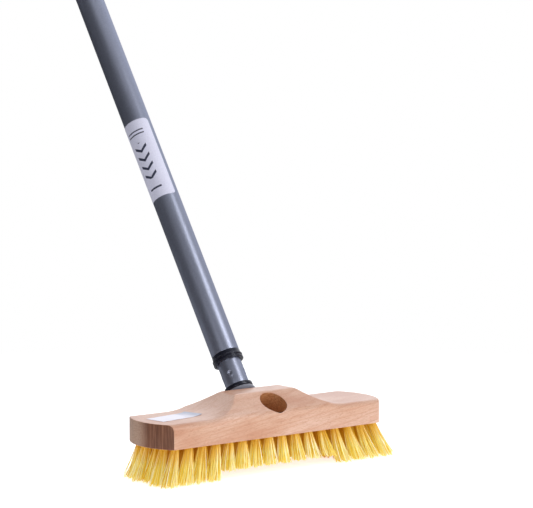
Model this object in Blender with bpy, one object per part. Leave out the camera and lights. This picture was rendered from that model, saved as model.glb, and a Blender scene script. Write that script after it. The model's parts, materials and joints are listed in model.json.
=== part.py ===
"""Floor scrub brush: a beech back with two handle sockets, stiff tufts with a longer beard at
each end, and a telescopic handle that locks by a twist. Metres, +Z up, +X along the back.
The origin lies in the plane of the middle tufts' tips, below the centre of the back."""

import math

import bmesh
import bpy
from mathutils import Matrix, Vector

# Fits
GAP = 0.0003  # between pieces that touch

# Back
BACK_LENGTH = 0.220  # long side, corner to corner
BACK_WIDTH = 0.065
END_BULGE = 0.011  # how far the round ends stand out past the corners
SHOULDER_HEIGHT = 0.0205
HUMP_HEIGHT = 0.036
CREASE_HEIGHT = 0.0212  # where a socket facet would meet the long side
HUMP_FOOT = 0.075  # from the middle to the foot of the hump
FLANK_RADIUS = 0.067
CREST_RADIUS = 0.008
EDGE_RADIUS = 0.005

# Handle sockets
SOCKET_TILT = math.radians(34.2)  # from upright
SOCKET_DIAMETER = 0.0245
SOCKET_DEPTH = 0.020
SOCKET_OFFSET = 0.0226  # mouth centre from the back's middle line

# Tufts
TRIM_LENGTH = 0.0245  # free length of the middle tufts
BEARD_EXTRA = 0.007
TUFT_PITCH = 0.0144
ROW_PITCH = 0.0122
ROWS = 5
FIELD_TUFTS = 8  # in the first row; the rows between have one more
SLICE_THICKNESS = 0.002
RIM_WIDTH = 0.0018  # wood left round the recess that the slices lie in
STRANDS_ROUND = 5
STRAND_RADIUS = 0.0011
TIP_RADIUS = 0.0008
BUNDLE_RADIUS = 0.0022
FAN_RADIUS = 0.0054
SPLAY_RIGHT = 0.017  # how far the last tips lean out past their tuft
SPLAY_LEFT = 0.011
SPLAY_SIDE = 0.0065
SPLAY_RISE = 0.002
LEAN_BEND = 0.4  # share of a tuft's lean that is reached half way down
FAN_BEND = 0.46  # where a tuft's fan stands half way down, between its root and tip
TUFT_TURN = 2.4  # radians from one tuft's strands to the next one's
ROW_TURN = 40.0  # radians from one row's strands to the next one's

# Handle
OUTER_DIAMETER = 0.025
INNER_DIAMETER = 0.021
TUBE_WALL = 0.0007
RIM_CHAMFER = 0.0002  # outside the tubes' ends
OUTER_LENGTH = 0.850
TIP_SKIRT = 0.005
SKIRT_DIAMETER = 0.0278
SKIRT_EDGE = 0.0006
SKIRT_TAPER = 0.0014  # how far the skirt draws in towards the ring
SPIGOT_CHAMFER = 0.0015
STEM_LENGTH = 0.018
RING_WIDTH = 0.0034
RING_DIAMETER = 0.0256
RING_EDGE = 0.0006
CRIMP_HEIGHT = 0.0107  # above the inner tube's lower end
CRIMP_DEPTH = 0.0009
CRIMP_SPREAD = 0.0022
CRIMP_ANGLE = math.radians(-143)
CRIMPS = 4
CRIMP_SLOPE = 0.001  # from the stem down into the waist that takes the crimps
COLLAR_START = 0.0293  # from the facet to the collar, with the handle pushed in
COLLAR_DIAMETER = 0.0272
COLLAR_GROOVE = 0.0006
COLLAR_BODY = 0.0072
COLLAR_NECK = 0.0035
NECK_DIAMETER = 0.0254
COLLAR_SLEEVE = 0.020
TOOTH_DROP = 0.0028
TOOTH_WIDTH = 0.0034
TOOTH_ANGLE = math.radians(172.5)

# Labels, bare
HANDLE_LABEL_START = 0.1987  # from the facet
HANDLE_LABEL_HEIGHT = 0.0806
HANDLE_LABEL_WIDTH = 0.060
HANDLE_LABEL_ANGLE = math.radians(-76)
LABEL_CORNER = 0.003
LABEL_THICKNESS = 0.00025
BACK_LABEL_LENGTH = 0.0445
BACK_LABEL_WIDTH = 0.021
BACK_LABEL_INSET = 0.0232  # its middle, from the back's left corners
BACK_LABEL_Y = 0.0006
BACK_LABEL_TURN = math.radians(9)

# Twist lock
PLUG_SPIGOT = 0.020
PLUG_FLANGE = 0.003
THREAD_DIAMETER = 0.006
SLEEVE_LENGTH = 0.030
SLEEVE_FLOOR = 0.004
CAVITY_RADIUS = 0.005
MOUTH_RADIUS = 0.008
SLOTS = 4
SLOT_WIDTH = 0.0016
CONE_START = 0.014  # from the plug's flange to the cone nut
CONE_LENGTH = 0.018
CONE_TRAVEL = 0.0015  # up the thread in half a turn, from locked to free
CONE_CLEARANCE = 0.0004
KEY_CLEARANCE = 0.0003
WASHER_DIAMETER = 0.012
WASHER_THICKNESS = 0.0012
SCREW_DIAMETER = 0.0026
SCREW_DEPTH = 0.008
SCREW_HEAD = 0.0025
SCREW_HEAD_RADIUS = 0.0034
CAP_ROOM = 0.022  # between the lock's screw and the cap's spigot, with the handle pushed in

# Top end
GRIP_LENGTH = 0.134
GRIP_DIAMETER = 0.031
GRIP_DROP = 0.006  # below the outer tube's top end
GRIP_RINGS = 7
GRIP_SHOULDER = 0.004  # rounding at each end; the rings keep three of these away
GRIP_EDGE = 0.0015
RING_GROOVE = 0.0011
GROOVE_MOUTH = 0.44  # share of the rings' pitch
GROOVE_FLOOR = 0.2
CAP_SPIGOT = 0.018
CAP_FLANGE = 0.003
CAP_DOME = 0.006
EYE_RADIUS = 0.009
EYE_BORE = 0.0055
EYE_THICKNESS = 0.005
EYE_RISE = 0.013  # eye centre above the cap's flange

# Facets round a turned piece
FINE = 32
COARSE = 20

OUTER_RADIUS = OUTER_DIAMETER / 2
OUTER_BORE = OUTER_RADIUS - TUBE_WALL
INNER_RADIUS = INNER_DIAMETER / 2
INNER_BORE = INNER_RADIUS - TUBE_WALL
STEM_RADIUS = INNER_BORE - GAP
RING_START = TIP_SKIRT + GAP
INNER_START = RING_START + RING_WIDTH + GAP
OUTER_START = COLLAR_START + COLLAR_BODY + COLLAR_NECK + GAP
OUTER_END = OUTER_START + OUTER_LENGTH
THREAD_LENGTH = CONE_START + CONE_LENGTH + CONE_TRAVEL + GAP
LOCK_LENGTH = PLUG_FLANGE + THREAD_LENGTH + WASHER_THICKNESS + SCREW_HEAD + 3 * GAP
INNER_END = OUTER_END - CAP_SPIGOT - CAP_ROOM - LOCK_LENGTH
SPLIT_X = TUFT_PITCH * (FIELD_TUFTS + 0.5) / 2
FIELD_HALF_WIDTH = BACK_WIDTH / 2 - RIM_WIDTH - GAP
END_RADIUS = ((BACK_WIDTH / 2) ** 2 + END_BULGE**2) / (2 * END_BULGE)


def clear_scene():
    for thing in list(bpy.data.objects):
        bpy.data.objects.remove(thing, do_unlink=True)


def finish_material(name, color, roughness, metallic=0.0):
    material = bpy.data.materials.new(name)
    material.use_nodes = True
    shader = material.node_tree.nodes["Principled BSDF"]
    shader.inputs["Base Color"].default_value = (*color, 1.0)
    shader.inputs["Roughness"].default_value = roughness
    shader.inputs["Metallic"].default_value = metallic
    return material


def add_object(name, bm, material=None, parent=None, smooth=True):
    """One closed mesh as an object, with its faces pointing out."""
    bmesh.ops.remove_doubles(bm, verts=bm.verts, dist=1e-7)
    bmesh.ops.recalc_face_normals(bm, faces=bm.faces)
    mesh = bpy.data.meshes.new(name)
    bm.to_mesh(mesh)
    bm.free()
    if smooth:
        mesh.shade_smooth()
        mesh.set_sharp_from_angle(angle=math.radians(32))
    piece = bpy.data.objects.new(name, mesh)
    bpy.context.scene.collection.objects.link(piece)
    if material:
        mesh.materials.append(material)
    piece.parent = parent
    return piece


def as_tool(piece):
    piece.hide_render = True
    piece.display_type = "WIRE"
    return piece


def boolean(piece, tool, operation):
    """Cut, join or limit a piece by a tool object."""
    modifier = piece.modifiers.new(tool.name, "BOOLEAN")
    modifier.operation = operation
    modifier.solver = "EXACT"
    modifier.object = as_tool(tool)


def turned_mesh(profile, steps=FINE, closed=True):
    """Spin a profile of (radius, height) points about Z; an open one starts and ends on the axis."""
    bm = bmesh.new()
    points = [bm.verts.new((radius, 0, height)) for radius, height in profile]
    pairs = list(zip(points, points[1:]))
    if closed:
        pairs.append((points[-1], points[0]))
    edges = [bm.edges.new(pair) for pair in pairs]
    bmesh.ops.spin(
        bm,
        geom=points + edges,
        axis=(0, 0, 1),
        angle=2 * math.pi,
        steps=steps,
        use_merge=True,
    )
    return bm


def turned(name, profile, material, parent, steps=FINE, closed=True):
    return add_object(name, turned_mesh(profile, steps, closed), material, parent)


def block_tool(name, size, parent=None):
    """A box for cutting or joining, centred on its own origin."""
    bm = bmesh.new()
    bmesh.ops.create_cube(bm, size=1)
    bmesh.ops.scale(bm, vec=Vector(size), verts=bm.verts)
    return add_object(name, bm, parent=parent, smooth=False)


def prism_mesh(outline, low, high):
    """A flat outline in plan, extruded from low to high."""
    bm = bmesh.new()
    face = bm.faces.new([bm.verts.new((x, y, low)) for x, y in outline])
    raised = bmesh.ops.extrude_face_region(bm, geom=[face])["geom"]
    tops = [item for item in raised if isinstance(item, bmesh.types.BMVert)]
    bmesh.ops.translate(bm, vec=(0, 0, high - low), verts=tops)
    return bm


# The back


def crest_centre():
    """Distance from the middle to the centre of the rounding between flank and plateau."""
    rise = (SHOULDER_HEIGHT + FLANK_RADIUS) - (HUMP_HEIGHT - CREST_RADIUS)
    return HUMP_FOOT - math.sqrt((FLANK_RADIUS + CREST_RADIUS) ** 2 - rise**2)


def top_height(x):
    """Height of the back's top at a distance x along it: shoulder, hollow flank, crest, plateau."""
    x = abs(x)
    middle = crest_centre()
    share = CREST_RADIUS / (FLANK_RADIUS + CREST_RADIUS)
    meeting = middle + (HUMP_FOOT - middle) * share
    if x >= HUMP_FOOT:
        return SHOULDER_HEIGHT
    if x >= meeting:
        return SHOULDER_HEIGHT + FLANK_RADIUS - math.sqrt(FLANK_RADIUS**2 - (HUMP_FOOT - x) ** 2)
    if x >= middle:
        return HUMP_HEIGHT - CREST_RADIUS + math.sqrt(CREST_RADIUS**2 - (x - middle) ** 2)
    return HUMP_HEIGHT


def section(height, arc_steps=4):
    """Right half of a cross-section: side, rounding, facet, rounding, top. Returns (y, z) points."""
    half = BACK_WIDTH / 2
    sine, cosine = math.sin(SOCKET_TILT), math.cos(SOCKET_TILT)
    reach = half * sine + CREASE_HEIGHT * cosine - EDGE_RADIUS
    low_y = half - EDGE_RADIUS
    top_z = height - EDGE_RADIUS
    low_z = min((reach - low_y * sine) / cosine, top_z)
    high_y = min((reach - top_z * cosine) / sine, low_y)
    facet_turn = math.pi / 2 - SOCKET_TILT
    points = [(half, 0.0)]
    for y, z, start, end in (
        (low_y, low_z, 0.0, facet_turn),
        (high_y, top_z, facet_turn, math.pi / 2),
    ):
        for step in range(arc_steps + 1):
            turn = start + (end - start) * step / arc_steps
            points.append((y + EDGE_RADIUS * math.cos(turn), z + EDGE_RADIUS * math.sin(turn)))
    return points


def section_stations(crest_steps=3, flank_steps=9):
    """Distances along the back, close together where the top curves."""
    middle = crest_centre()
    share = CREST_RADIUS / (FLANK_RADIUS + CREST_RADIUS)
    meeting = middle + (HUMP_FOOT - middle) * share
    crest_turn = math.asin((meeting - middle) / CREST_RADIUS)
    flank_turn = math.asin((HUMP_FOOT - meeting) / FLANK_RADIUS)
    half = [middle + CREST_RADIUS * math.sin(crest_turn * i / crest_steps) for i in range(crest_steps)]
    for step in range(flank_steps + 1):
        half.append(HUMP_FOOT - FLANK_RADIUS * math.sin(flank_turn * (1 - step / flank_steps)))
    half.append(BACK_LENGTH / 2 + 2 * END_BULGE)
    return [-x for x in reversed(half)] + half


def end_reach(y, inset=0.0):
    """How far the round end of the back reaches at a distance y from the middle line."""
    centre = BACK_LENGTH / 2 + END_BULGE - END_RADIUS
    return centre + math.sqrt(max((END_RADIUS - inset) ** 2 - y**2, 0.0))


def plan_outline(half_width, inset, steps=12):
    """Outline of the back in plan, drawn in by inset at its ends."""
    turn = math.asin(half_width / (END_RADIUS - inset))
    centre = BACK_LENGTH / 2 + END_BULGE - END_RADIUS
    right = []
    for step in range(steps + 1):
        angle = turn * (2 * step / steps - 1)
        radius = END_RADIUS - inset
        right.append((centre + radius * math.cos(angle), radius * math.sin(angle)))
    return right + [(-x, -y) for x, y in right]


def socket_frame(side, name):
    """An empty in a socket's mouth, its Z axis pointing out along the socket. side is 1 or -1."""
    mouth = bpy.data.objects.new(name, None)
    bpy.context.scene.collection.objects.link(mouth)
    height = CREASE_HEIGHT + (BACK_WIDTH / 2 - SOCKET_OFFSET) * math.tan(SOCKET_TILT)
    mouth.location = (0, side * SOCKET_OFFSET, TRIM_LENGTH + height)
    mouth.rotation_euler = (-side * SOCKET_TILT, 0, 0)
    return mouth


def make_back(material, front, rear):
    bm = bmesh.new()
    rings = []
    for x in section_stations():
        half = section(top_height(x))
        loop = half + [(-y, z) for y, z in reversed(half)]
        rings.append([bm.verts.new((x, y, TRIM_LENGTH + z)) for y, z in loop])
    count = len(rings[0])
    for ring, following in zip(rings, rings[1:]):
        for i in range(count):
            j = (i + 1) % count
            bm.faces.new((ring[i], ring[j], following[j], following[i]))
    bm.faces.new(rings[0])
    bm.faces.new(rings[-1])
    back = add_object("brush_block", bm, material)

    low, high = TRIM_LENGTH - 2 * HUMP_HEIGHT, TRIM_LENGTH + 2 * HUMP_HEIGHT
    outline = plan_outline(BACK_WIDTH / 2, 0.0)
    wide = [(x, y * 2) if abs(abs(y) - BACK_WIDTH / 2) < 1e-6 else (x, y) for x, y in outline]
    boolean(back, add_object("end_rounding", prism_mesh(wide, low, high)), "INTERSECT")
    recess = plan_outline(BACK_WIDTH / 2 - RIM_WIDTH, RIM_WIDTH)
    recess_top = TRIM_LENGTH + SLICE_THICKNESS + GAP
    boolean(back, add_object("recess", prism_mesh(recess, low, recess_top)), "DIFFERENCE")
    for mouth in (front, rear):
        bm = bmesh.new()
        bmesh.ops.create_cone(
            bm,
            cap_ends=True,
            segments=FINE,
            radius1=SOCKET_DIAMETER / 2,
            radius2=SOCKET_DIAMETER / 2,
            depth=2 * SOCKET_DEPTH,
        )
        boolean(back, add_object(mouth.name + "_bore", bm, parent=mouth), "DIFFERENCE")


# The tufts


def tuft_rows():
    """Every tuft's middle on the back: a list of (x, y) for each row, staggered by half a pitch."""
    rows = []
    for row in range(ROWS):
        y = (row - (ROWS - 1) / 2) * ROW_PITCH
        start = 0.5 if (FIELD_TUFTS + row) % 2 == 0 else 0.0
        limit = end_reach(abs(y) + BUNDLE_RADIUS, RIM_WIDTH + GAP) - BUNDLE_RADIUS - STRAND_RADIUS
        right = []
        while (len(right) + start) * TUFT_PITCH <= limit:
            right.append((len(right) + start) * TUFT_PITCH)
        left = [-x for x in reversed(right) if x > 0]
        rows.append([(x, y) for x in left + right])
    return rows


def tip_of(x, y):
    """Where the middle of a tuft's tips lies: all lean out from the middle, and beards are longer."""
    reach = BACK_LENGTH / 2 + END_BULGE
    splay = SPLAY_RIGHT if x > 0 else SPLAY_LEFT
    side = SPLAY_SIDE * y / FIELD_HALF_WIDTH
    height = 0.0
    if abs(x) > SPLIT_X:
        share = (abs(x) - SPLIT_X) / (reach - SPLIT_X)
        height = -BEARD_EXTRA + SPLAY_RISE * share**2
    return Vector((x + splay * x / reach, y + side, height))


def triangle_ring(bm, centre, radius, turn):
    corners = []
    for corner in range(3):
        angle = turn + corner * 2 * math.pi / 3
        offset = Vector((math.cos(angle), math.sin(angle), 0)) * radius
        corners.append(bm.verts.new(centre + offset))
    return corners


def add_tuft(bm, x, y, turn):
    """Six strands that leave the wood close together and fan out. Returns the edges at the wood."""
    root = Vector((x, y, TRIM_LENGTH))
    tip = tip_of(x, y)
    middle = root.lerp(tip, 0.5)
    middle.x, middle.y = root.lerp(tip, LEAN_BEND).xy
    bend_radius = (BUNDLE_RADIUS + FAN_RADIUS) * FAN_BEND
    feet = []
    places = [(0.0, 0.0)]
    for strand in range(STRANDS_ROUND):
        angle = turn + strand * 2 * math.pi / STRANDS_ROUND
        places.append((math.cos(angle), math.sin(angle)))
    for across, along in places:
        spread = Vector((across, along, 0))
        rings = [
            triangle_ring(bm, root + spread * BUNDLE_RADIUS, STRAND_RADIUS, turn),
            triangle_ring(bm, middle + spread * bend_radius, STRAND_RADIUS, turn),
            triangle_ring(bm, tip + spread * FAN_RADIUS, TIP_RADIUS, turn),
        ]
        for upper, lower in zip(rings, rings[1:]):
            for i in range(3):
                j = (i + 1) % 3
                bm.faces.new((upper[i], upper[j], lower[j], lower[i]))
        bm.faces.new(rings[-1])
        foot = rings[0]
        feet += [bm.edges.get((foot[i], foot[(i + 1) % 3])) for i in range(3)]
    return feet


def make_tufts(name, tufts, outline, material):
    """Tufts fused to the slice of the back that holds them."""
    bm = bmesh.new()
    feet = []
    for number, (x, y) in enumerate(tufts):
        feet += add_tuft(bm, x, y, TUFT_TURN * number + ROW_TURN * y / ROW_PITCH)
    low = [bm.verts.new((x, y, TRIM_LENGTH)) for x, y in outline]
    high = [bm.verts.new((x, y, TRIM_LENGTH + SLICE_THICKNESS)) for x, y in outline]
    rim = []
    for i in range(len(outline)):
        j = (i + 1) % len(outline)
        bm.faces.new((low[i], low[j], high[j], high[i]))
        rim.append(bm.edges.get((low[i], low[j])))
    bm.faces.new(high)
    bmesh.ops.triangle_fill(bm, use_beauty=True, use_dissolve=False, edges=rim + feet)
    add_object(name, bm, material, smooth=False)


def beard_outline(steps=10):
    """Plan of the slice under the right-hand beard."""
    inset = RIM_WIDTH + GAP
    turn = math.asin(FIELD_HALF_WIDTH / (END_RADIUS - inset))
    centre = BACK_LENGTH / 2 + END_BULGE - END_RADIUS
    start = SPLIT_X + GAP / 2
    outline = [(start, -FIELD_HALF_WIDTH)]
    for step in range(steps + 1):
        angle = turn * (2 * step / steps - 1)
        radius = END_RADIUS - inset
        outline.append((centre + radius * math.cos(angle), radius * math.sin(angle)))
    outline.append((start, FIELD_HALF_WIDTH))
    return outline


def make_bristles(material):
    rows = tuft_rows()
    edges = [-FIELD_HALF_WIDTH]
    for row in range(ROWS - 1):
        edges.append((row + 1 - ROWS / 2) * ROW_PITCH)
    edges.append(FIELD_HALF_WIDTH)
    reach = SPLIT_X - GAP / 2
    for row, tufts in enumerate(rows):
        near = edges[row] + (GAP / 2 if row else 0.0)
        far = edges[row + 1] - (GAP / 2 if row < ROWS - 1 else 0.0)
        outline = [(-reach, near), (reach, near), (reach, far), (-reach, far)]
        field = [(x, y) for x, y in tufts if abs(x) < SPLIT_X]
        make_tufts(f"bristle_row_{row + 1}", field, outline, material)
    right = beard_outline()
    left = [(-x, -y) for x, y in right]
    everywhere = [tuft for tufts in rows for tuft in tufts]
    make_tufts("bristle_beard_left", [t for t in everywhere if t[0] < -SPLIT_X], left, material)
    make_tufts("bristle_beard_right", [t for t in everywhere if t[0] > SPLIT_X], right, material)


# Labels


def make_back_label(material, columns=12):
    """A bare sticker that follows the shoulder and the foot of the hump."""
    bm = bmesh.new()
    turn = Matrix.Rotation(BACK_LABEL_TURN, 3, "Z")
    rings = []
    for column in range(columns + 1):
        along = BACK_LABEL_LENGTH * (column / columns - 0.5)
        corners = []
        for side in (-0.5, 0.5):
            place = turn @ Vector((along, BACK_LABEL_WIDTH * side, 0))
            place += Vector((BACK_LABEL_INSET - BACK_LENGTH / 2, BACK_LABEL_Y, 0))
            place.z = TRIM_LENGTH + top_height(place.x) + GAP
            corners.append(place)
        lift = Vector((0, 0, LABEL_THICKNESS))
        loop = [corners[0], corners[1], corners[1] + lift, corners[0] + lift]
        rings.append([bm.verts.new(point) for point in loop])
    for ring, following in zip(rings, rings[1:]):
        for i in range(4):
            j = (i + 1) % 4
            bm.faces.new((ring[i], ring[j], following[j], following[i]))
    bm.faces.new(rings[0])
    bm.faces.new(rings[-1])
    add_object("block_label", bm, material)


def make_handle_label(material, parent, columns=28):
    """A bare sticker wrapped most of the way round the outer tube, with round corners."""
    bm = bmesh.new()
    inner = OUTER_RADIUS + GAP
    corner_steps = 3
    places = [LABEL_CORNER * (1 - math.cos(math.pi / 2 * i / corner_steps)) for i in range(corner_steps)]
    inside = HANDLE_LABEL_WIDTH - 2 * LABEL_CORNER
    places += [LABEL_CORNER + inside * i / columns for i in range(columns + 1)]
    places += [HANDLE_LABEL_WIDTH - place for place in reversed(places[:corner_steps])]
    rings = []
    for place in places:
        margin = min(place, HANDLE_LABEL_WIDTH - place, LABEL_CORNER)
        cut = LABEL_CORNER - math.sqrt(max(LABEL_CORNER**2 - (LABEL_CORNER - margin) ** 2, 0.0))
        angle = HANDLE_LABEL_ANGLE - place / OUTER_RADIUS
        low, high = HANDLE_LABEL_START + cut, HANDLE_LABEL_START + HANDLE_LABEL_HEIGHT - cut
        ring = []
        for radius, height in (
            (inner, low),
            (inner + LABEL_THICKNESS, low),
            (inner + LABEL_THICKNESS, high),
            (inner, high),
        ):
            point = (radius * math.cos(angle), radius * math.sin(angle), height)
            ring.append(bm.verts.new(point))
        rings.append(ring)
    for ring, following in zip(rings, rings[1:]):
        for i in range(4):
            j = (i + 1) % 4
            bm.faces.new((ring[i], ring[j], following[j], following[i]))
    bm.faces.new(rings[0])
    bm.faces.new(rings[-1])
    add_object("handle_label", bm, material, parent)


# The handle's lower end


def make_tip(material, ring_material, axis):
    """Grey moulded tip: spigot in the socket, flared skirt, stem inside the inner tube."""
    bore = SOCKET_DIAMETER / 2 - GAP
    skirt = SKIRT_DIAMETER / 2
    stem_top = INNER_START + STEM_LENGTH
    crimp = INNER_START + CRIMP_HEIGHT
    waist = INNER_BORE - CRIMP_DEPTH - GAP
    relief = 2 * CRIMP_SPREAD
    profile = [
        (0, GAP - SOCKET_DEPTH),
        (bore - SPIGOT_CHAMFER, GAP - SOCKET_DEPTH),
        (bore, GAP - SOCKET_DEPTH + SPIGOT_CHAMFER),
        (bore, GAP),
        (skirt - SKIRT_EDGE, GAP),
        (skirt, GAP + SKIRT_EDGE),
    ]
    taper_steps = 4
    for step in range(taper_steps + 1):
        share = step / taper_steps
        height = 2 * SKIRT_EDGE + (TIP_SKIRT - 2 * SKIRT_EDGE) * share
        profile.append((skirt - SKIRT_TAPER * share**2, height))
    profile += [
        (STEM_RADIUS, TIP_SKIRT),
        (STEM_RADIUS, crimp - relief),
        (waist, crimp - relief + CRIMP_SLOPE),
        (waist, crimp + relief - CRIMP_SLOPE),
        (STEM_RADIUS, crimp + relief),
        (STEM_RADIUS, stem_top - SPIGOT_CHAMFER),
        (STEM_RADIUS - SPIGOT_CHAMFER, stem_top),
        (0, stem_top),
    ]
    turned("handle_tip", profile, material, axis, closed=False)
    radius = RING_DIAMETER / 2
    profile = [
        (STEM_RADIUS + GAP, RING_START),
        (radius - RING_EDGE, RING_START),
        (radius, RING_START + RING_EDGE),
        (radius, RING_START + RING_WIDTH - RING_EDGE),
        (radius - RING_EDGE, RING_START + RING_WIDTH),
        (STEM_RADIUS + GAP, RING_START + RING_WIDTH),
    ]
    turned("tip_ring", profile, ring_material, axis)


def make_inner_tube(material, axis):
    """The thin tube, crimped on to the tip's stem."""
    crimp = INNER_START + CRIMP_HEIGHT
    heights = [crimp + CRIMP_SPREAD * step for step in (-2.4, -1.5, -0.8, 0.0, 0.8, 1.5, 2.4)]
    profile = [(INNER_RADIUS - RIM_CHAMFER, INNER_START), (INNER_RADIUS, INNER_START + RIM_CHAMFER)]
    profile += [(INNER_RADIUS, height) for height in heights]
    profile += [(INNER_RADIUS, INNER_END - RIM_CHAMFER), (INNER_RADIUS - RIM_CHAMFER, INNER_END)]
    profile += [(INNER_BORE, height) for height in [INNER_END, *reversed(heights), INNER_START]]
    bm = turned_mesh(profile)
    bmesh.ops.rotate(bm, matrix=Matrix.Rotation(CRIMP_ANGLE, 3, "Z"), verts=bm.verts)
    for vert in bm.verts:
        radius = vert.co.xy.length
        angle = math.atan2(vert.co.y, vert.co.x) - CRIMP_ANGLE
        step = 2 * math.pi / CRIMPS
        arc = (angle - step * round(angle / step)) * INNER_RADIUS
        away = (arc**2 + (vert.co.z - crimp) ** 2) / CRIMP_SPREAD**2
        drawn = radius - CRIMP_DEPTH * math.exp(-away)
        vert.co.x *= drawn / radius
        vert.co.y *= drawn / radius
    add_object("inner_tube", bm, material, axis)


def make_collar(material, axis):
    """Black guide collar: a grooved ring below the outer tube and a sleeve up inside it."""
    bore = INNER_RADIUS + GAP
    body = COLLAR_DIAMETER / 2
    neck = NECK_DIAMETER / 2
    sleeve = OUTER_BORE - GAP
    shoulder = COLLAR_START + COLLAR_BODY
    rim = shoulder + COLLAR_NECK
    groove = COLLAR_START + COLLAR_BODY / 2
    half = COLLAR_GROOVE
    profile = [
        (bore, COLLAR_START),
        (body - half, COLLAR_START),
        (body, COLLAR_START + half),
        (body, groove - 1.5 * half),
        (body - half, groove - 0.5 * half),
        (body - half, groove + 0.5 * half),
        (body, groove + 1.5 * half),
        (body, shoulder - half),
        (body - half, shoulder),
        (neck, shoulder),
        (neck, rim),
        (sleeve, rim),
        (sleeve, rim + COLLAR_SLEEVE),
        (bore, rim + COLLAR_SLEEVE),
    ]
    collar = turned("guide_collar", profile, material, axis)
    depth = body - bore - 2 * GAP
    tooth = block_tool("collar_tooth", (depth, TOOTH_WIDTH, 2 * TOOTH_DROP), axis)
    middle = bore + GAP + depth / 2
    tooth.rotation_euler = (0, 0, TOOTH_ANGLE)
    tooth.location = (
        middle * math.cos(TOOTH_ANGLE),
        middle * math.sin(TOOTH_ANGLE),
        COLLAR_START,
    )
    boolean(collar, tooth, "UNION")


def make_outer_tube(material, axis):
    profile = [
        (OUTER_BORE, OUTER_START),
        (OUTER_RADIUS - RIM_CHAMFER, OUTER_START),
        (OUTER_RADIUS, OUTER_START + RIM_CHAMFER),
        (OUTER_RADIUS, OUTER_END - RIM_CHAMFER),
        (OUTER_RADIUS - RIM_CHAMFER, OUTER_END),
        (OUTER_BORE, OUTER_END),
    ]
    turned("outer_tube", profile, material, axis)


# The twist lock inside the outer tube


def make_lock(plug_material, sleeve_material, steel, axis):
    """Plug with a threaded stem, split sleeve, cone nut, and the washer and screw that stop it."""
    flange = INNER_END + GAP
    floor = flange + PLUG_FLANGE
    thread = THREAD_DIAMETER / 2
    thread_end = floor + THREAD_LENGTH
    pilot = SCREW_DIAMETER / 2 + GAP
    plug = [
        (0, INNER_END - PLUG_SPIGOT),
        (INNER_BORE - GAP, INNER_END - PLUG_SPIGOT),
        (INNER_BORE - GAP, flange),
        (OUTER_BORE - 2 * GAP, flange),
        (OUTER_BORE - 2 * GAP, floor),
        (thread, floor),
        (thread, thread_end),
        (pilot, thread_end),
        (pilot, thread_end - SCREW_DEPTH),
        (0, thread_end - SCREW_DEPTH),
    ]
    turned("lock_plug", plug, plug_material, axis, COARSE, closed=False)

    start = floor + GAP
    end = start + SLEEVE_LENGTH
    sleeve = [
        (thread + GAP, start),
        (OUTER_BORE - GAP, start),
        (OUTER_BORE - GAP, end),
        (MOUTH_RADIUS, end),
        (CAVITY_RADIUS, start + SLEEVE_FLOOR),
        (thread + GAP, start + SLEEVE_FLOOR),
    ]
    piece = turned("lock_sleeve", sleeve, sleeve_material, axis)
    slot_start = start + 1.5 * SLEEVE_FLOOR
    for slot in range(SLOTS // 2):
        cutter = block_tool(
            f"sleeve_slot_{slot + 1}",
            (3 * OUTER_RADIUS, SLOT_WIDTH, 2 * (end - slot_start)),
            axis,
        )
        cutter.rotation_euler = (0, 0, 2 * math.pi * (slot + 0.5) / SLOTS)
        cutter.location = (0, 0, end)
        boolean(piece, cutter, "DIFFERENCE")

    def cavity(height):
        share = (height - start - SLEEVE_FLOOR) / (SLEEVE_LENGTH - SLEEVE_FLOOR)
        return CAVITY_RADIUS + (MOUTH_RADIUS - CAVITY_RADIUS) * share

    low = floor + CONE_START
    high = low + CONE_LENGTH
    cone = [
        (thread + GAP, low),
        (cavity(low) - CONE_CLEARANCE, low),
        (cavity(high) - CONE_CLEARANCE, high),
        (thread + GAP, high),
    ]
    nut = turned("lock_cone", cone, plug_material, axis, COARSE)
    for side in (-1, 1):
        length = OUTER_BORE - 4 * GAP - cavity(low) + CONE_CLEARANCE
        key = block_tool(
            "cone_key_left" if side < 0 else "cone_key_right",
            (length, SLOT_WIDTH - 2 * KEY_CLEARANCE, CONE_LENGTH / 2),
            axis,
        )
        angle = math.pi / SLOTS
        middle = side * (OUTER_BORE - 4 * GAP - length / 2)
        key.rotation_euler = (0, 0, angle)
        key.location = (middle * math.cos(angle), middle * math.sin(angle), (low + high) / 2)
        boolean(nut, key, "UNION")

    washer_start = thread_end + GAP
    head_start = washer_start + WASHER_THICKNESS + GAP
    washer = [
        (pilot, washer_start),
        (WASHER_DIAMETER / 2, washer_start),
        (WASHER_DIAMETER / 2, washer_start + WASHER_THICKNESS),
        (pilot, washer_start + WASHER_THICKNESS),
    ]
    turned("lock_washer", washer, steel, axis, COARSE)
    screw_foot = thread_end - SCREW_DEPTH + GAP
    crown = SCREW_HEAD / 3
    screw = [
        (0, screw_foot),
        (SCREW_DIAMETER / 2, screw_foot),
        (SCREW_DIAMETER / 2, head_start),
        (SCREW_HEAD_RADIUS, head_start),
        (SCREW_HEAD_RADIUS, head_start + SCREW_HEAD - crown),
        (SCREW_HEAD_RADIUS - crown, head_start + SCREW_HEAD),
        (0, head_start + SCREW_HEAD),
    ]
    turned("lock_screw", screw, steel, axis, COARSE, closed=False)


# The handle's top end


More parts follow.
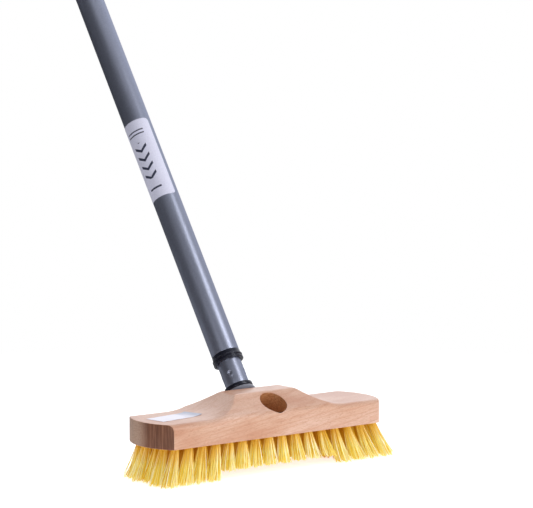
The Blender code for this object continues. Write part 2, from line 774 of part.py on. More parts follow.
def make_grip(material, axis):
    """Ribbed hand grip, open at both ends."""
    bore = OUTER_RADIUS + GAP
    radius = GRIP_DIAMETER / 2
    high = OUTER_END - GRIP_DROP
    low = high - GRIP_LENGTH
    profile = [(bore, low), (radius - GRIP_EDGE, low), (radius, low + GRIP_SHOULDER)]
    pitch = (GRIP_LENGTH - 6 * GRIP_SHOULDER) / GRIP_RINGS
    for ring in range(GRIP_RINGS):
        middle = low + 3 * GRIP_SHOULDER + (ring + 0.5) * pitch
        mouth, floor = GROOVE_MOUTH / 2 * pitch, GROOVE_FLOOR / 2 * pitch
        profile += [(radius, middle - mouth), (radius - RING_GROOVE, middle - floor)]
        profile += [(radius - RING_GROOVE, middle + floor), (radius, middle + mouth)]
    profile += [(radius, high - GRIP_SHOULDER), (radius - GRIP_EDGE, high), (bore, high)]
    turned("hand_grip", profile, material, axis, COARSE)


def make_cap(material, axis):
    """End cap with an eye to hang the brush by."""
    flange = OUTER_END + GAP
    profile = [
        (0, OUTER_END - CAP_SPIGOT),
        (OUTER_BORE - GAP, OUTER_END - CAP_SPIGOT),
        (OUTER_BORE - GAP, flange),
        (OUTER_RADIUS, flange),
        (OUTER_RADIUS, flange + CAP_FLANGE),
    ]
    dome_steps = 4
    for step in range(1, dome_steps):
        turn = math.pi / 2 * step / dome_steps
        profile.append((OUTER_RADIUS * math.cos(turn), flange + CAP_FLANGE + CAP_DOME * math.sin(turn)))
    profile.append((0, flange + CAP_FLANGE + CAP_DOME))
    cap = turned("hanging_cap", profile, material, axis, COARSE, closed=False)

    eye = flange + EYE_RISE + CAP_FLANGE
    bm = bmesh.new()
    outline = [(-EYE_RADIUS, flange + CAP_FLANGE / 2), (EYE_RADIUS, flange + CAP_FLANGE / 2)]
    arc_steps = 12
    for step in range(arc_steps + 1):
        turn = math.pi * step / arc_steps
        outline.append((EYE_RADIUS * math.cos(turn), eye + EYE_RADIUS * math.sin(turn)))
    face = bm.faces.new([bm.verts.new((-EYE_THICKNESS / 2, y, z)) for y, z in outline])
    raised = bmesh.ops.extrude_face_region(bm, geom=[face])["geom"]
    far = [item for item in raised if isinstance(item, bmesh.types.BMVert)]
    bmesh.ops.translate(bm, vec=(EYE_THICKNESS, 0, 0), verts=far)
    boolean(cap, add_object("eye_plate", bm, parent=axis), "UNION")
    bm = bmesh.new()
    bmesh.ops.create_cone(
        bm,
        cap_ends=True,
        segments=COARSE,
        radius1=EYE_BORE,
        radius2=EYE_BORE,
        depth=3 * EYE_THICKNESS,
        matrix=Matrix.Rotation(math.pi / 2, 4, "Y"),
    )
    hole = add_object("eye_hole", bm, parent=axis)
    hole.location = (0, 0, eye)
    boolean(cap, hole, "DIFFERENCE")


def main():
    clear_scene()
    beech = finish_material("beech", (0.74, 0.50, 0.36), 0.55)
    fibre = finish_material("yellow_fibre", (0.80, 0.58, 0.14), 0.5)
    paper = finish_material("white_paper", (0.80, 0.78, 0.84), 0.5)
    grey_plastic = finish_material("grey_plastic", (0.16, 0.16, 0.19), 0.45)
    black_plastic = finish_material("black_plastic", (0.012, 0.012, 0.016), 0.4)
    white_plastic = finish_material("natural_nylon", (0.7, 0.69, 0.64), 0.45)
    enamel = finish_material("grey_enamel", (0.17, 0.17, 0.21), 0.35, 0.6)
    steel = finish_material("zinc_steel", (0.62, 0.62, 0.64), 0.35, 1.0)
    rubber = finish_material("black_rubber", (0.02, 0.02, 0.022), 0.7)

    front = socket_frame(-1, "spare_socket")
    axis = socket_frame(1, "handle_axis")
    make_back(beech, front, axis)
    make_bristles(fibre)
    make_back_label(paper)
    make_tip(grey_plastic, black_plastic, axis)
    make_inner_tube(enamel, axis)
    make_collar(black_plastic, axis)
    make_outer_tube(enamel, axis)
    make_handle_label(paper, axis)
    make_lock(white_plastic, black_plastic, steel, axis)
    make_grip(rubber, axis)
    make_cap(black_plastic, axis)


main()
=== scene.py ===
import json
import math

import bmesh
import bpy
from bpy.props import FloatProperty, FloatVectorProperty, IntProperty, PointerProperty
from mathutils import Matrix, Vector


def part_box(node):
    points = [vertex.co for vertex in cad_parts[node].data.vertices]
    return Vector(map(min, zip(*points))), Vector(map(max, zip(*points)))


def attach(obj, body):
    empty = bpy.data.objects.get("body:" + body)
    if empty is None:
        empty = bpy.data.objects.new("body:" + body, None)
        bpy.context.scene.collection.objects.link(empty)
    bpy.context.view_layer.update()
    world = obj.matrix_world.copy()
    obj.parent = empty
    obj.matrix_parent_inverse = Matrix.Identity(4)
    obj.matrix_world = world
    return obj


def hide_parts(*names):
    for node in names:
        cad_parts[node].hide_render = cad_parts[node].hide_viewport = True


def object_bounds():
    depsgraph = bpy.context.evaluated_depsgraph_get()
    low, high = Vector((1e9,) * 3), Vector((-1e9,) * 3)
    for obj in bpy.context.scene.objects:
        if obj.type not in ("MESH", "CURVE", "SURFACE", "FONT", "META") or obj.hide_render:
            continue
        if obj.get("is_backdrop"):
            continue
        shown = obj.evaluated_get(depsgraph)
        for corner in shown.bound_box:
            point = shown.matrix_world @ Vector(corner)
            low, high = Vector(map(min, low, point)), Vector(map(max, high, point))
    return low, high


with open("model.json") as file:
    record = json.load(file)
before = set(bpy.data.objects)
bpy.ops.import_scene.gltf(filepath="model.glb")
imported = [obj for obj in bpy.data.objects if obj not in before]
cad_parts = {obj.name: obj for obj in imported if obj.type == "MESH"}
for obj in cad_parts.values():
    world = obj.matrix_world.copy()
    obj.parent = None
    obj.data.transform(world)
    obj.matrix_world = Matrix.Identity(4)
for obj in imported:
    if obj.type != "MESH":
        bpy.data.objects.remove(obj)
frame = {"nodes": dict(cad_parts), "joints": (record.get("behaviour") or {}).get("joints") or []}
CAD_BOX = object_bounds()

bl_info = {
    "name": "Floor Scrub Brush",
    "version": (1, 0, 0),
    "blender": (4, 5, 0),
    "location": "3D View > Sidebar > Scrub Brush",
    "description": "Beech scrub brush with fibre tufts and a telescopic handle",
    "category": "Add Mesh",
}

MM = 0.001

# The frame gives the back's box and the handle's line, which the outer tube slides on
BACK_LOW, BACK_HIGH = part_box("brush_block")
BACK_HEIGHT = BACK_HIGH.z - BACK_LOW.z
HALF_WIDTH = (BACK_HIGH.y - BACK_LOW.y) / 2
SLIDE = next(joint for joint in frame["joints"] if joint["name"] == "handle_extend")
AXIS = Vector(SLIDE["axis"]).normalized()
TILT = math.atan2(AXIS.y, AXIS.z)

# Handle space to the frame: Z along the handle, X level along the back, zero in the tip's ring
FOOT = sum(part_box("tip_ring"), Vector()) / 2
SIDEWAYS = Vector((1, 0, 0))
HANDLE = Matrix.Translation(FOOT) @ Matrix((SIDEWAYS, AXIS.cross(SIDEWAYS), AXIS)).transposed().to_4x4()

# Kinds of node that the trees use most
MATH = "ShaderNodeMath"
VECTOR = "ShaderNodeVectorMath"
RANGE = "ShaderNodeMapRange"
MIX = "ShaderNodeMix"
NAMED = "GeometryNodeInputNamedAttribute"
STORE = "GeometryNodeStoreNamedAttribute"


# Settings


def length(name, description, millimetres):
    """A size setting, with its default in millimetres."""
    return FloatProperty(name=name, description=description, default=millimetres * MM, unit="LENGTH")


def angle(name, description, degrees):
    """An angle setting, with its default in degrees."""
    return FloatProperty(name=name, description=description, default=math.radians(degrees), subtype="ANGLE")


def number(name, description, default):
    """A setting for a number of like things."""
    return IntProperty(name=name, description=description, default=default, min=1)


def linear(code):
    """An sRGB hex colour as linear RGBA."""
    values = []
    for place in (0, 2, 4):
        value = int(code[place : place + 2], 16) / 255
        values.append(value / 12.92 if value <= 0.04045 else ((value + 0.055) / 1.055) ** 2.4)
    return (*values, 1.0)


def tint(name, description, code):
    """A colour setting, with its default from an sRGB hex colour."""
    return FloatVectorProperty(
        name=name, description=description, default=linear(code), size=4, min=0, max=1, subtype="COLOR"
    )


class BackSettings(bpy.types.PropertyGroup):
    """Sizes of the wooden back that its box doesn't give."""

    shoulder_height: length("Shoulder Height", "Thickness of the ends", 20.5)
    crease_height: length("Crease Height", "Where a facet would meet the side", 21.2)
    hump_foot: length("Hump Foot", "Middle to the foot of the hump", 75)
    flank_radius: length("Flank Radius", "Hollow of the hump's flanks", 67)
    crest_radius: length("Crest Radius", "Rounding above the flanks", 8)
    edge_radius: length("Edge Radius", "Rounding of the long edges", 5)
    end_bulge: length("End Bulge", "How far the round ends stand out", 11)
    socket_diameter: length("Socket Diameter", "Bore for a handle's tip", 24.5)
    socket_depth: length("Socket Depth", "Depth of the bore", 20)
    socket_offset: length("Socket Offset", "Mouth from the middle line", 22.6)
    softened: length("Sanded Edge", "Chamfer left by sanding", 0.5)


class TuftSettings(bpy.types.PropertyGroup):
    """The tufts' layout and their fibres."""

    pitch: length("Tuft Pitch", "Spacing along a row", 14.4)
    row_pitch: length("Row Pitch", "Spacing of the rows", 12.2)
    rows: number("Rows", "Rows of tufts", 5)
    field_tufts: number("Field Tufts", "Short tufts in the first row", 8)
    end_inset: length("End Inset", "No tuft stands nearer to a round end", 5)
    splay_right: length("Splay Right", "Outward lean at the right end", 17)
    splay_left: length("Splay Left", "Outward lean at the left end", 10)
    left_inset: length("Left Inset", "Last tufts on the left stand further in", 5.5)
    splay_side: length("Splay Side", "Sideways lean at the long sides", 3)
    bundle_radius: length("Bundle Radius", "Tuft at the wood", 3.1)
    fan_radius: length("Fan Radius", "Short tuft at its tips", 6.0)
    beard_radius: length("Beard Radius", "Long tuft at its tips", 6.4)
    ragged: length("Ragged", "Unevenness of the trimmed tips", 1.9)
    beard_ragged: length("Beard Ragged", "Unevenness of the long tips", 3.6)
    sway: length("Sway", "How far single fibres bend aside", 2.0)
    fibres: number("Fibres", "Fibres in one tuft", 105)
    fibre_diameter: length("Fibre Diameter", "Across one fibre", 0.62)
    seed: IntProperty(name="Seed", description="Spread of the fibres", default=7)


class HandleSettings(bpy.types.PropertyGroup):
    """Sizes of the handle. Its lengths come from the frame."""

    outer_diameter: length("Outer Tube", "Across the outer tube", 25)
    inner_diameter: length("Inner Tube", "Across the inner tube", 21)
    wall: length("Wall", "Thickness of both tubes", 0.7)
    rim: length("Rim", "Rounding of the tubes' ends", 0.28)
    crimps: number("Crimps", "Dents round the inner tube, which hold the tip", 4)
    crimp_depth: length("Crimp Depth", "Depth of a dent", 0.6)
    crimp_spread: length("Crimp Spread", "Size of a dent", 1.7)
    crimp_height: length("Crimp Height", "Above the inner tube's lower end", 10.7)
    crimp_angle: angle("Crimp Angle", "Place of the first dent", -143)
    collar_diameter: length("Collar", "Across the collar's body", 27.2)
    collar_reach: length("Collar Reach", "How far the collar stands out below the outer tube", 8.4)
    tooth_angle: angle("Tooth Angle", "Place of the collar's tooth", 172.5)
    grip_diameter: length("Grip", "Across the hand grip", 31)
    grip_grooves: number("Grip Grooves", "Grooves round the hand grip", 7)
    eye_diameter: length("Eye", "Across the hanging eye", 18)
    eye_hole: length("Eye Hole", "Across the hole in the hanging eye", 11)


class LabelSettings(bpy.types.PropertyGroup):
    """The two stickers: one wrapped round the outer tube, one on the back's left shoulder."""

    thickness: length("Thickness", "Film with its glue", 0.1)
    gap: length("Gap", "Kept free under the handle's sticker", 0.04)
    wrap: length("Wrap", "Width of the handle's sticker", 60)
    corner: length("Corner", "Rounding of its corners", 3)
    edge_angle: angle("Edge Angle", "Where its edge lies", -76)
    back_length: length("Back Label Length", "Sticker on the shoulder", 44.5)
    back_width: length("Back Label Width", "Sticker on the shoulder", 21)
    back_turn: angle("Back Label Turn", "Askew on the wood", 9)
    back_x: length("Back Label X", "Its middle along the back", -86.8)
    back_y: length("Back Label Y", "Its middle across the back", 0.6)


class FinishSettings(bpy.types.PropertyGroup):
    """The colours of the brush's materials."""

    beech: tint("Beech", "Planed wood", "CEA48B")
    beech_dark: tint("Beech Dark", "Darker parts of the board", "C08C70")
    beech_pale: tint("Beech Pale", "Paler parts of the board", "D6B29E")
    end_grain: tint("End Grain", "Sawn ends of the board", "784A32")
    amber: tint("Amber", "Darkest fibres", "DCAA20")
    yellow: tint("Yellow", "Deeper fibres", "F0D44C")
    straw: tint("Straw", "Most fibres", "FAEC9C")
    cream: tint("Cream", "Palest fibres", "FFFCEC")
    enamel: tint("Enamel", "Tubes", "A2A7BA")
    enamel_dark: tint("Enamel Dark", "Hollows of the enamel's skin", "989DB0")
    black: tint("Black", "Ring and collar", "161622")
    black_worn: tint("Black Worn", "Scuffs on ring and collar", "2A2A3A")
    grey: tint("Grey", "Handle's tip", "6A6A74")
    grey_worn: tint("Grey Worn", "Scuffs on the tip", "83838E")
    rubber: tint("Rubber", "Hand grip", "232327")
    rubber_bloom: tint("Rubber Bloom", "Pale film on the hand grip", "3B3B42")
    sticker: tint("Sticker", "Wrapped sticker's film", "E2E2F4")
    sticker_dull: tint("Sticker Dull", "Mottle of the film", "D8D8EC")
    ink: tint("Ink", "Marks on the wrapped sticker", "3A3D52")


class StageSettings(bpy.types.PropertyGroup):
    """The camera's place and lens."""

    yaw: angle("Yaw", "Camera round the brush", 37.86)
    pitch: angle("Pitch", "Camera looks down by this", 4.782)
    distance: length("Distance", "Camera to the back", 1700)
    lens: FloatProperty(name="Lens", description="Focal length in millimetres", default=133.81)
    aim_right: length("Aim Right", "Frame centre beside the back's middle", 7.85)
    aim_up: length("Aim Up", "Frame centre above the back's middle", 151.7)


# Nodes


def fill_inputs(node, *values, **named):
    """Set or link a node's inputs, in their order or by name."""
    sockets = [socket for socket in node.inputs if socket.enabled]
    by_name = {socket.name: socket for socket in sockets}
    pairs = list(zip(sockets, values))
    pairs += [(by_name[name.replace("_", " ")], value) for name, value in named.items()]
    for socket, value in pairs:
        if isinstance(value, bpy.types.NodeSocket):
            node.id_data.links.new(value, socket)
        else:
            socket.default_value = value


def add_node(tree, kind, *values, out=None, **named):
    """Add a node. Names in lower case are its settings, all others its inputs. Returns an output:
    the first in use, or the one named by out."""
    node = tree.nodes.new(kind)
    for name in [name for name in named if name.islower()]:
        setattr(node, name, named.pop(name))
    fill_inputs(node, *values, **named)
    return node.outputs[out] if out else next((socket for socket in node.outputs if socket.enabled), None)


def new_material(name):
    """A material with a Principled surface. Returns it and its tree."""
    material = bpy.data.materials.new(name)
    material.use_nodes = True
    return material, material.node_tree


def finished(material, **looks):
    """Set or link the inputs of a material's Principled surface, and return the material."""
    fill_inputs(material.node_tree.nodes["Principled BSDF"], **looks)
    return material


def grains(tree, size, detail, roughness, place=None):
    """Noise in grains of a size in millimetres, the same all round or given along each axis. It
    lies on the piece's own coordinates, or on those of place."""
    if place is None:
        place = add_node(tree, "ShaderNodeTexCoord", out="Object")
    sizes = size if isinstance(size, tuple) else (size, size, size)
    spread = add_node(tree, "ShaderNodeMapping", place, Scale=[1 / (side * MM) for side in sizes])
    return add_node(tree, "ShaderNodeTexNoise", spread, 1.0, detail, roughness)


def stain(tree, color, tone, pattern, low, high, least=0.0, most=1.0):
    """Lay a tone over a colour: the least of it where a pattern is low, the most where it's high."""
    amount = add_node(tree, RANGE, pattern, low, high, least, most)
    return add_node(tree, MIX, amount, color, tone, data_type="RGBA")


def shaded(tree, pattern, stops):
    """A colour that runs with a pattern through stops, each a value of it and a colour."""
    start, color = stops[0]
    for end, tone in stops[1:]:
        color = stain(tree, color, tone, pattern, start, end)
        start = end
    return color


# Materials


def beech_side(finish):
    """Planed beech: pale pinkish wood, growth rings as soft slanting bands along the board, and
    the short dark rays that beech is known by, under a thin wax."""
    material, tree = new_material("planed_beech")
    place = add_node(tree, "ShaderNodeTexCoord", out="Object")
    slant = add_node(tree, "ShaderNodeMapping", place, Rotation=(0, math.radians(9), 0))
    board = grains(tree, (83.3, 27.8, 27.8), 2, 0.5, slant)
    # Growth rings lie nearly flat in the board, a little slanting across it, and wander
    ring_spacing = 5.2 * MM
    wander = 4 * MM
    slope = 0.35
    split = add_node(tree, "ShaderNodeSeparateXYZ", slant).node.outputs
    depth = add_node(tree, MATH, split["Y"], slope, split["Z"], operation="MULTIPLY_ADD")
    drift = grains(tree, (111, 12.3, 12.3), 3, 0.55, slant)
    drift = add_node(tree, RANGE, drift, 0.3, 0.7, -wander, wander)
    depth = add_node(tree, MATH, depth, drift, operation="ADD")
    depth = add_node(tree, MATH, depth, 2 * math.pi / ring_spacing, operation="MULTIPLY")
    rings = add_node(tree, MATH, depth, operation="SINE")
    # Vessels are really under 0.1 mm wide, and rays under 0.3 mm. Both are drawn wider, to show.
    vessels = grains(tree, (11.1, 0.427, 0.427), 4, 0.6, slant)
    rays = grains(tree, (2.38, 0.476, 0.476), 1, 0.4, slant)
    color = shaded(tree, board, [(0.34, finish.beech_dark), (0.52, finish.beech), (0.7, finish.beech_pale)])
    color = stain(tree, color, linear("BC8060"), rings, 0.2, 1.0, 0, 0.34)
    color = stain(tree, color, linear("B68468"), vessels, 0.42, 0.7, 0, 0.6)
    color = stain(tree, color, linear("A87455"), rays, 0.56, 0.7, 0, 0.5)
    return finished(
        material,
        Base_Color=color,
        Roughness=add_node(tree, RANGE, vessels, 0.3, 0.7, 0.3, 0.4),
        Normal=add_node(tree, "ShaderNodeBump", Height=vessels, Distance=0.06 * MM, Strength=0.5),
    )


def beech_end(finish):
    """Sawn end grain of beech: darker, because the cut pores drink light, with upright saw marks,
    and a painted sheen and light that make it paler towards the handle's side, more in the pores."""
    material, tree = new_material("sawn_beech_end_grain")
    marks = grains(tree, (1.54, 1.54, 25.6), 3, 0.6)
    broad = grains(tree, (6.25, 6.25, 104), 2, 0.5)
    # Pores of beech are really under 0.1 mm wide, and are drawn wider, to show
    pores = grains(tree, 0.667, 2, 0.5)
    stops = [(0.32, linear("5C3521")), (0.5, finish.end_grain), (0.68, linear("94664D"))]
    color = shaded(tree, marks, stops)
    color = stain(tree, color, linear("744A36"), broad, 0.35, 0.7, 0, 0.45)
    color = stain(tree, color, linear("5C3A28"), pores, 0.55, 0.75, 0, 0.4)
    place = add_node(tree, "ShaderNodeTexCoord", out="Object")
    across = add_node(tree, "ShaderNodeSeparateXYZ", place, out="Y")
    # Painted sheen and light: paler towards the handle's side, and more so in the pores
    painted_sheen_side = add_node(tree, RANGE, across, -10 * MM, 4 * MM, 0, 1)
    in_pores = add_node(tree, RANGE, pores, 0.35, 0.6, 0.3, 0.8)
    dust_and_sheen = add_node(tree, MATH, painted_sheen_side, in_pores, operation="MULTIPLY")
    relief = add_node(tree, MATH, marks, pores, operation="ADD")
    return finished(
        material,
        Base_Color=add_node(tree, MIX, dust_and_sheen, color, linear("C4A690"), data_type="RGBA"),
        Roughness=0.42,
        Normal=add_node(tree, "ShaderNodeBump", Height=relief, Distance=0.2 * MM, Strength=0.7),
    )


def beech_bore():
    """Drilled beech: the bit leaves a warmer, slightly burnished wall with fine rings round it."""
    material, tree = new_material("drilled_beech")
    rings = grains(tree, (7.41, 1.11, 1.11), 3, 0.6)
    stops = [(0.3, linear("9C6238")), (0.5, linear("B97E50")), (0.7, linear("CC9467"))]
    return finished(
        material,
        Base_Color=shaded(tree, rings, stops),
        Roughness=0.6,
        Normal=add_node(tree, "ShaderNodeBump", Height=rings, Distance=0.15 * MM, Strength=0.6),
    )


def fibre_material(finish):
    """Yellow synthetic bristle: extruded and glossy along its length. Each fibre has its own shade,
    from amber to pale straw. A painted amber glow stands in for light that wanders from fibre to
    fibre, and painted shade darkens the roots and the tufts inside the rows."""
    material, tree = new_material("extruded_yellow_fibre")
    names = ("shade", "reach", "open")
    shade, reach, outside = [
        add_node(tree, "ShaderNodeAttribute", attribute_name=name, out="Fac") for name in names
    ]
    stops = [(0.0, finish.amber), (0.2, finish.yellow), (0.6, finish.straw), (1.0, finish.cream)]
    color = shaded(tree, shade, stops)
    times = {"data_type": "RGBA", "blend_type": "MULTIPLY"}
    # Painted shade: the fibres are darker near the wood, where the tufts shade each other
    painted_root_shade = add_node(tree, MIX, 1.0, color, linear("EEC436"), **times)
    color = stain(tree, painted_root_shade, color, reach, 0.0, 0.6)
    # Painted shade: the tufts inside the rows, which the outer tufts shade, are darker
    inside = add_node(tree, MIX, 1.0, color, linear("E0B424"), **times)
    color = stain(tree, color, inside, outside, 0.0, 1.0, 0.85, 0.0)
    return finished(
        material,
        Base_Color=color,
        Roughness=0.35,
        # Painted glow: the fibres give off light, though they are no lamp, in place of light that passes
        # through them
        Emission_Color=add_node(tree, MIX, 1.0, color, linear("F0E25C"), **times),
        Emission_Strength=0.17,
    )


def enamel(name, light, dark):
    """Satin grey enamel over steel tube: an even coat with a faint orange-peel ripple and a little
    dust and drawing lines along the tube."""
    material, tree = new_material(name)
    lines = grains(tree, (0.556, 18.5, 18.5), 2, 0.5)
    peel = grains(tree, 1.43, 2, 0.5)
    # Dust is really about 0.1 mm across, and is drawn coarser, to show
    dust_and_sheen = grains(tree, 0.385, 2, 0.6)
    color = stain(tree, light, dark, peel, 0.3, 0.7)
    return finished(
        material,
        Base_Color=stain(tree, color, linear("A9A9B4"), dust_and_sheen, 0.66, 0.8, 0, 0.35),
        Metallic=0.85,
        Specular_Tint=linear("A6A8AF"),
        Roughness=add_node(tree, RANGE, lines, 0.3, 0.7, 0.33, 0.4),
        Normal=add_node(tree, "ShaderNodeBump", Height=peel, Distance=0.04 * MM, Strength=0.5),
    )


def moulded(name, base, worn, roughness):
    """Injection-moulded plastic: a fine spark-eroded grain that scatters the highlight, with paler
    scuffs from handling."""
    material, tree = new_material(name)
    # Spark-eroded grain is really about 0.1 mm, and is drawn coarser, to show
    eroded = grains(tree, 0.714, 3, 0.55)
    scuffs = grains(tree, 5.56, 4, 0.6)
    return finished(
        material,
        Base_Color=stain(tree, base, worn, scuffs, 0.52, 0.75, 0, 0.6),
        Roughness=add_node(tree, RANGE, eroded, 0.3, 0.7, roughness - 0.06, roughness + 0.06),
        Specular_Tint=linear("ECF1FF"),
        Normal=add_node(tree, "ShaderNodeBump", Height=eroded, Distance=0.06 * MM, Strength=0.5),
    )


def zinc_steel():
    """Bright zinc-plated steel: bluish passivation drifting to straw, over a fine turned finish."""
    material, tree = new_material("zinc_plated_steel")
    drift = grains(tree, 4.55, 2, 0.5)
    # Turning marks are really about 0.1 mm apart, and are drawn coarser, to show
    lines = grains(tree, (0.333, 0.333, 3.33), 2, 0.5)
    stops = [(0.3, linear("B9BEC6")), (0.6, linear("C8C6BE")), (0.8, linear("B7BCC4"))]
    return finished(
        material,
        Base_Color=shaded(tree, drift, stops),
        Metallic=1.0,
        Roughness=add_node(tree, RANGE, lines, 0.3, 0.7, 0.25, 0.38),
    )


def sticker_film(name, pale, dull, ink=None):
    """Matt white sticker film: a faint lilac tone with tiny creases. With ink it is printed and
    lies smoother. Without, it is bare, with a darker grey end and deeper creases."""
    material, tree = new_material(name)
    creases = grains(tree, (7.69, 7.69, 19.2), 3, 0.6)
    mottle = grains(tree, 1.11, 2, 0.5)
    color = stain(tree, pale, dull, mottle, 0.3, 0.7)
    # UV is in metres on both stickers
    places = add_node(tree, "ShaderNodeSeparateXYZ", add_node(tree, "ShaderNodeUVMap")).node.outputs
    if ink:
        color = label_print(tree, color, ink, places["X"], places["Y"])
        relief = {"Distance": 0.12 * MM, "Strength": 0.5}
    else:
        # The right-hand end is darker grey, with an uneven edge
        unevenness = 14 * MM
        edge = add_node(tree, MATH, creases, unevenness, places["X"], operation="MULTIPLY_ADD")
        color = stain(tree, color, linear("9FA3B6"), edge, 14 * MM, 26 * MM)
        relief = {"Distance": 0.4 * MM, "Strength": 0.8}
    return finished(
        material,
        Base_Color=color,
        Roughness=0.38,
        Coat_Weight=0.15,
        Coat_Roughness=0.3,
        Normal=add_node(tree, "ShaderNodeBump", Height=creases, **relief),
    )


def label_print(tree, paper, ink, across, up):
    """Plain generic marks: a stack of chevrons between three bars."""
    middle = 17 * MM
    chevron_pitch = 9.5 * MM
    chevron_share = 0.3
    chevron_slope = -0.8
    marks = []
    # Each mark's height on the sticker, half its height and half its width, chevrons first
    for height, half_height, half_width in ((39, 19, 6.2), (70, 0.6, 8.5), (66.5, 0.6, 8.5), (10, 0.9, 6.2)):
        level = add_node(tree, MATH, up, height * MM, half_height * MM, operation="COMPARE")
        wide = add_node(tree, MATH, across, middle, half_width * MM, operation="COMPARE")
        marks.append(add_node(tree, MATH, level, wide, operation="MULTIPLY"))
    aside = add_node(tree, MATH, across, middle, operation="SUBTRACT")
    aside = add_node(tree, MATH, aside, operation="ABSOLUTE")
    slant = add_node(tree, MATH, aside, chevron_slope, up, operation="MULTIPLY_ADD")
    wave = add_node(tree, MATH, slant, chevron_pitch, operation="DIVIDE")
    wave = add_node(tree, MATH, wave, operation="FRACT")
    stripes = add_node(tree, MATH, wave, chevron_share, operation="LESS_THAN")
    printed = add_node(tree, MATH, marks[0], stripes, operation="MULTIPLY")
    for bar in marks[1:]:
        printed = add_node(tree, MATH, printed, bar, operation="MAXIMUM")
    return add_node(tree, MIX, printed, paper, ink, data_type="RGBA")


def grip_rubber(finish):
    """Soft black rubber: a sooty matt face with moulding bloom in the grooves."""
    material, tree = new_material("moulded_rubber")
    bloom = grains(tree, 11.1, 4, 0.6)
    # The mould's blasted grain is really about 0.1 mm, and is drawn coarser, to show
    blasted = grains(tree, 0.455, 2, 0.5)
    return finished(
        material,
        Base_Color=stain(tree, finish.rubber, finish.rubber_bloom, bloom, 0.4, 0.75),
        Roughness=0.62,
        Normal=add_node(tree, "ShaderNodeBump", Height=blasted, Distance=0.08 * MM, Strength=0.6),
    )


def floor_paper():
    """Plain white studio paper, lit a little through, that fades into the backdrop."""
    material, tree = new_material("studio_paper")
    cloudy = grains(tree, 2.5, 2, 0.5)
    finished(
        material,
        Base_Color=stain(tree, linear("F6F6F6"), linear("F2F2F2"), cloudy, 0.3, 0.7),
        Roughness=0.9,
        Specular_IOR_Level=0.1,
        Emission_Color=linear("FFFFFF"),
        Emission_Strength=0.7,
    )
    # It fades from 250 to 800 mm from the middle, and reflections see mostly through it
    place = add_node(tree, "ShaderNodeTexCoord", out="Object")
    away = add_node(tree, VECTOR, place, operation="LENGTH")
    fade = add_node(tree, RANGE, away, 250 * MM, 800 * MM, 0, 1)
    glossy = add_node(tree, "ShaderNodeLightPath", out="Is Glossy Ray")
    hidden = add_node(tree, MATH, glossy, 0.8, operation="MULTIPLY")
    clearness = add_node(tree, MATH, fade, hidden, operation="MAXIMUM")
    clear = add_node(tree, "ShaderNodeBsdfTransparent")
    paper = tree.nodes["Principled BSDF"].outputs[0]
    mixed = add_node(tree, "ShaderNodeMixShader", clearness, paper, clear)
    fill_inputs(tree.nodes["Material Output"], Surface=mixed)
    return material


# Meshes


def link_object(name, data):
    """An object with this data, in the scene."""
    thing = bpy.data.objects.new(name, data)
    bpy.context.scene.collection.objects.link(thing)
    return thing


def new_object(name, bm):
    """An object with the shape of a BMesh, which is freed."""
    mesh = bpy.data.meshes.new(name)
    bm.to_mesh(mesh)
    bm.free()
    return link_object(name, mesh)


def add_piece(name, bm, materials, body, node, sharp):
    """A finished piece in place of a CAD node: smooth up to an angle, and riding on its body."""
    piece = new_object(name, bm)
    piece.data.shade_smooth()
    piece.data.set_sharp_from_angle(angle=math.radians(sharp))
    for material in materials:
        piece.data.materials.append(material)
    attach(piece, body)
    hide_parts(node)


def skin(bm, rings):
    """Faces between rings of vertices, with both ends filled."""
    for ring, following in zip(rings, rings[1:]):
        for i in range(len(ring)):
            j = (i + 1) % len(ring)
            bm.faces.new((ring[i], ring[j], following[j], following[i]))
    bm.faces.new(rings[0])
    bm.faces.new(rings[-1])


def slab(outline, thickness):
    """A solid slab from a flat outline and a thickness vector."""
    bm = bmesh.new()
    face = bm.faces.new([bm.verts.new(point) for point in outline])
    raised = bmesh.ops.extrude_face_region(bm, geom=[face])["geom"]
    far = [item for item in raised if isinstance(item, bmesh.types.BMVert)]
    bmesh.ops.translate(bm, vec=thickness, verts=far)
    return bm


def rod(diameter, depth, matrix, segments):
    """A round rod, to cut a hole with."""
    bm = bmesh.new()
    radius = diameter / 2
    bmesh.ops.create_cone(
        bm, cap_ends=True, segments=segments, radius1=radius, radius2=radius, depth=depth, matrix=matrix
    )
    return bm


def carved(shape, tools):
    """Join a shape with tools, each given with its Boolean operation. All are BMeshes."""
    pieces = []
    for bm in [shape] + [tool for tool, _ in tools]:
        bmesh.ops.recalc_face_normals(bm, faces=bm.faces)
        pieces.append(new_object("carving", bm))
    for piece, (_, operation) in zip(pieces[1:], tools):
        modifier = pieces[0].modifiers.new("carve", "BOOLEAN")
        modifier.operation = operation
        modifier.solver = "EXACT"
        modifier.object = piece
    evaluated = pieces[0].evaluated_get(bpy.context.evaluated_depsgraph_get())
    result = bmesh.new()
    result.from_mesh(evaluated.to_mesh())
    for piece in pieces:
        bpy.data.objects.remove(piece, do_unlink=True)
    return result


def soften_edges(bm, width):
    """Sand the sharp edges: merge flat faces first, then chamfer what is sharper than 40 degrees."""
    flat = math.radians(0.3)
    bmesh.ops.dissolve_limit(bm, angle_limit=flat, verts=bm.verts, edges=bm.edges, delimit={"NORMAL"})
    sharp = math.radians(40)
    edges = [edge for edge in bm.edges if edge.is_manifold and edge.calc_face_angle(0) > sharp]
    bmesh.ops.bevel(
        bm, geom=edges, offset=width, segments=3, profile=0.6, affect="EDGES", clamp_overlap=False
    )


def along_handle(node):
    """A CAD node's extent along the handle from FOOT, and its least and greatest radius."""
    inverse = HANDLE.inverted()
    places = [inverse @ vertex.co for vertex in frame["nodes"][node].data.vertices]
    heights = [place.z for place in places]
    radii = [place.xy.length for place in places]
    return min(heights), max(heights), min(radii), max(radii)


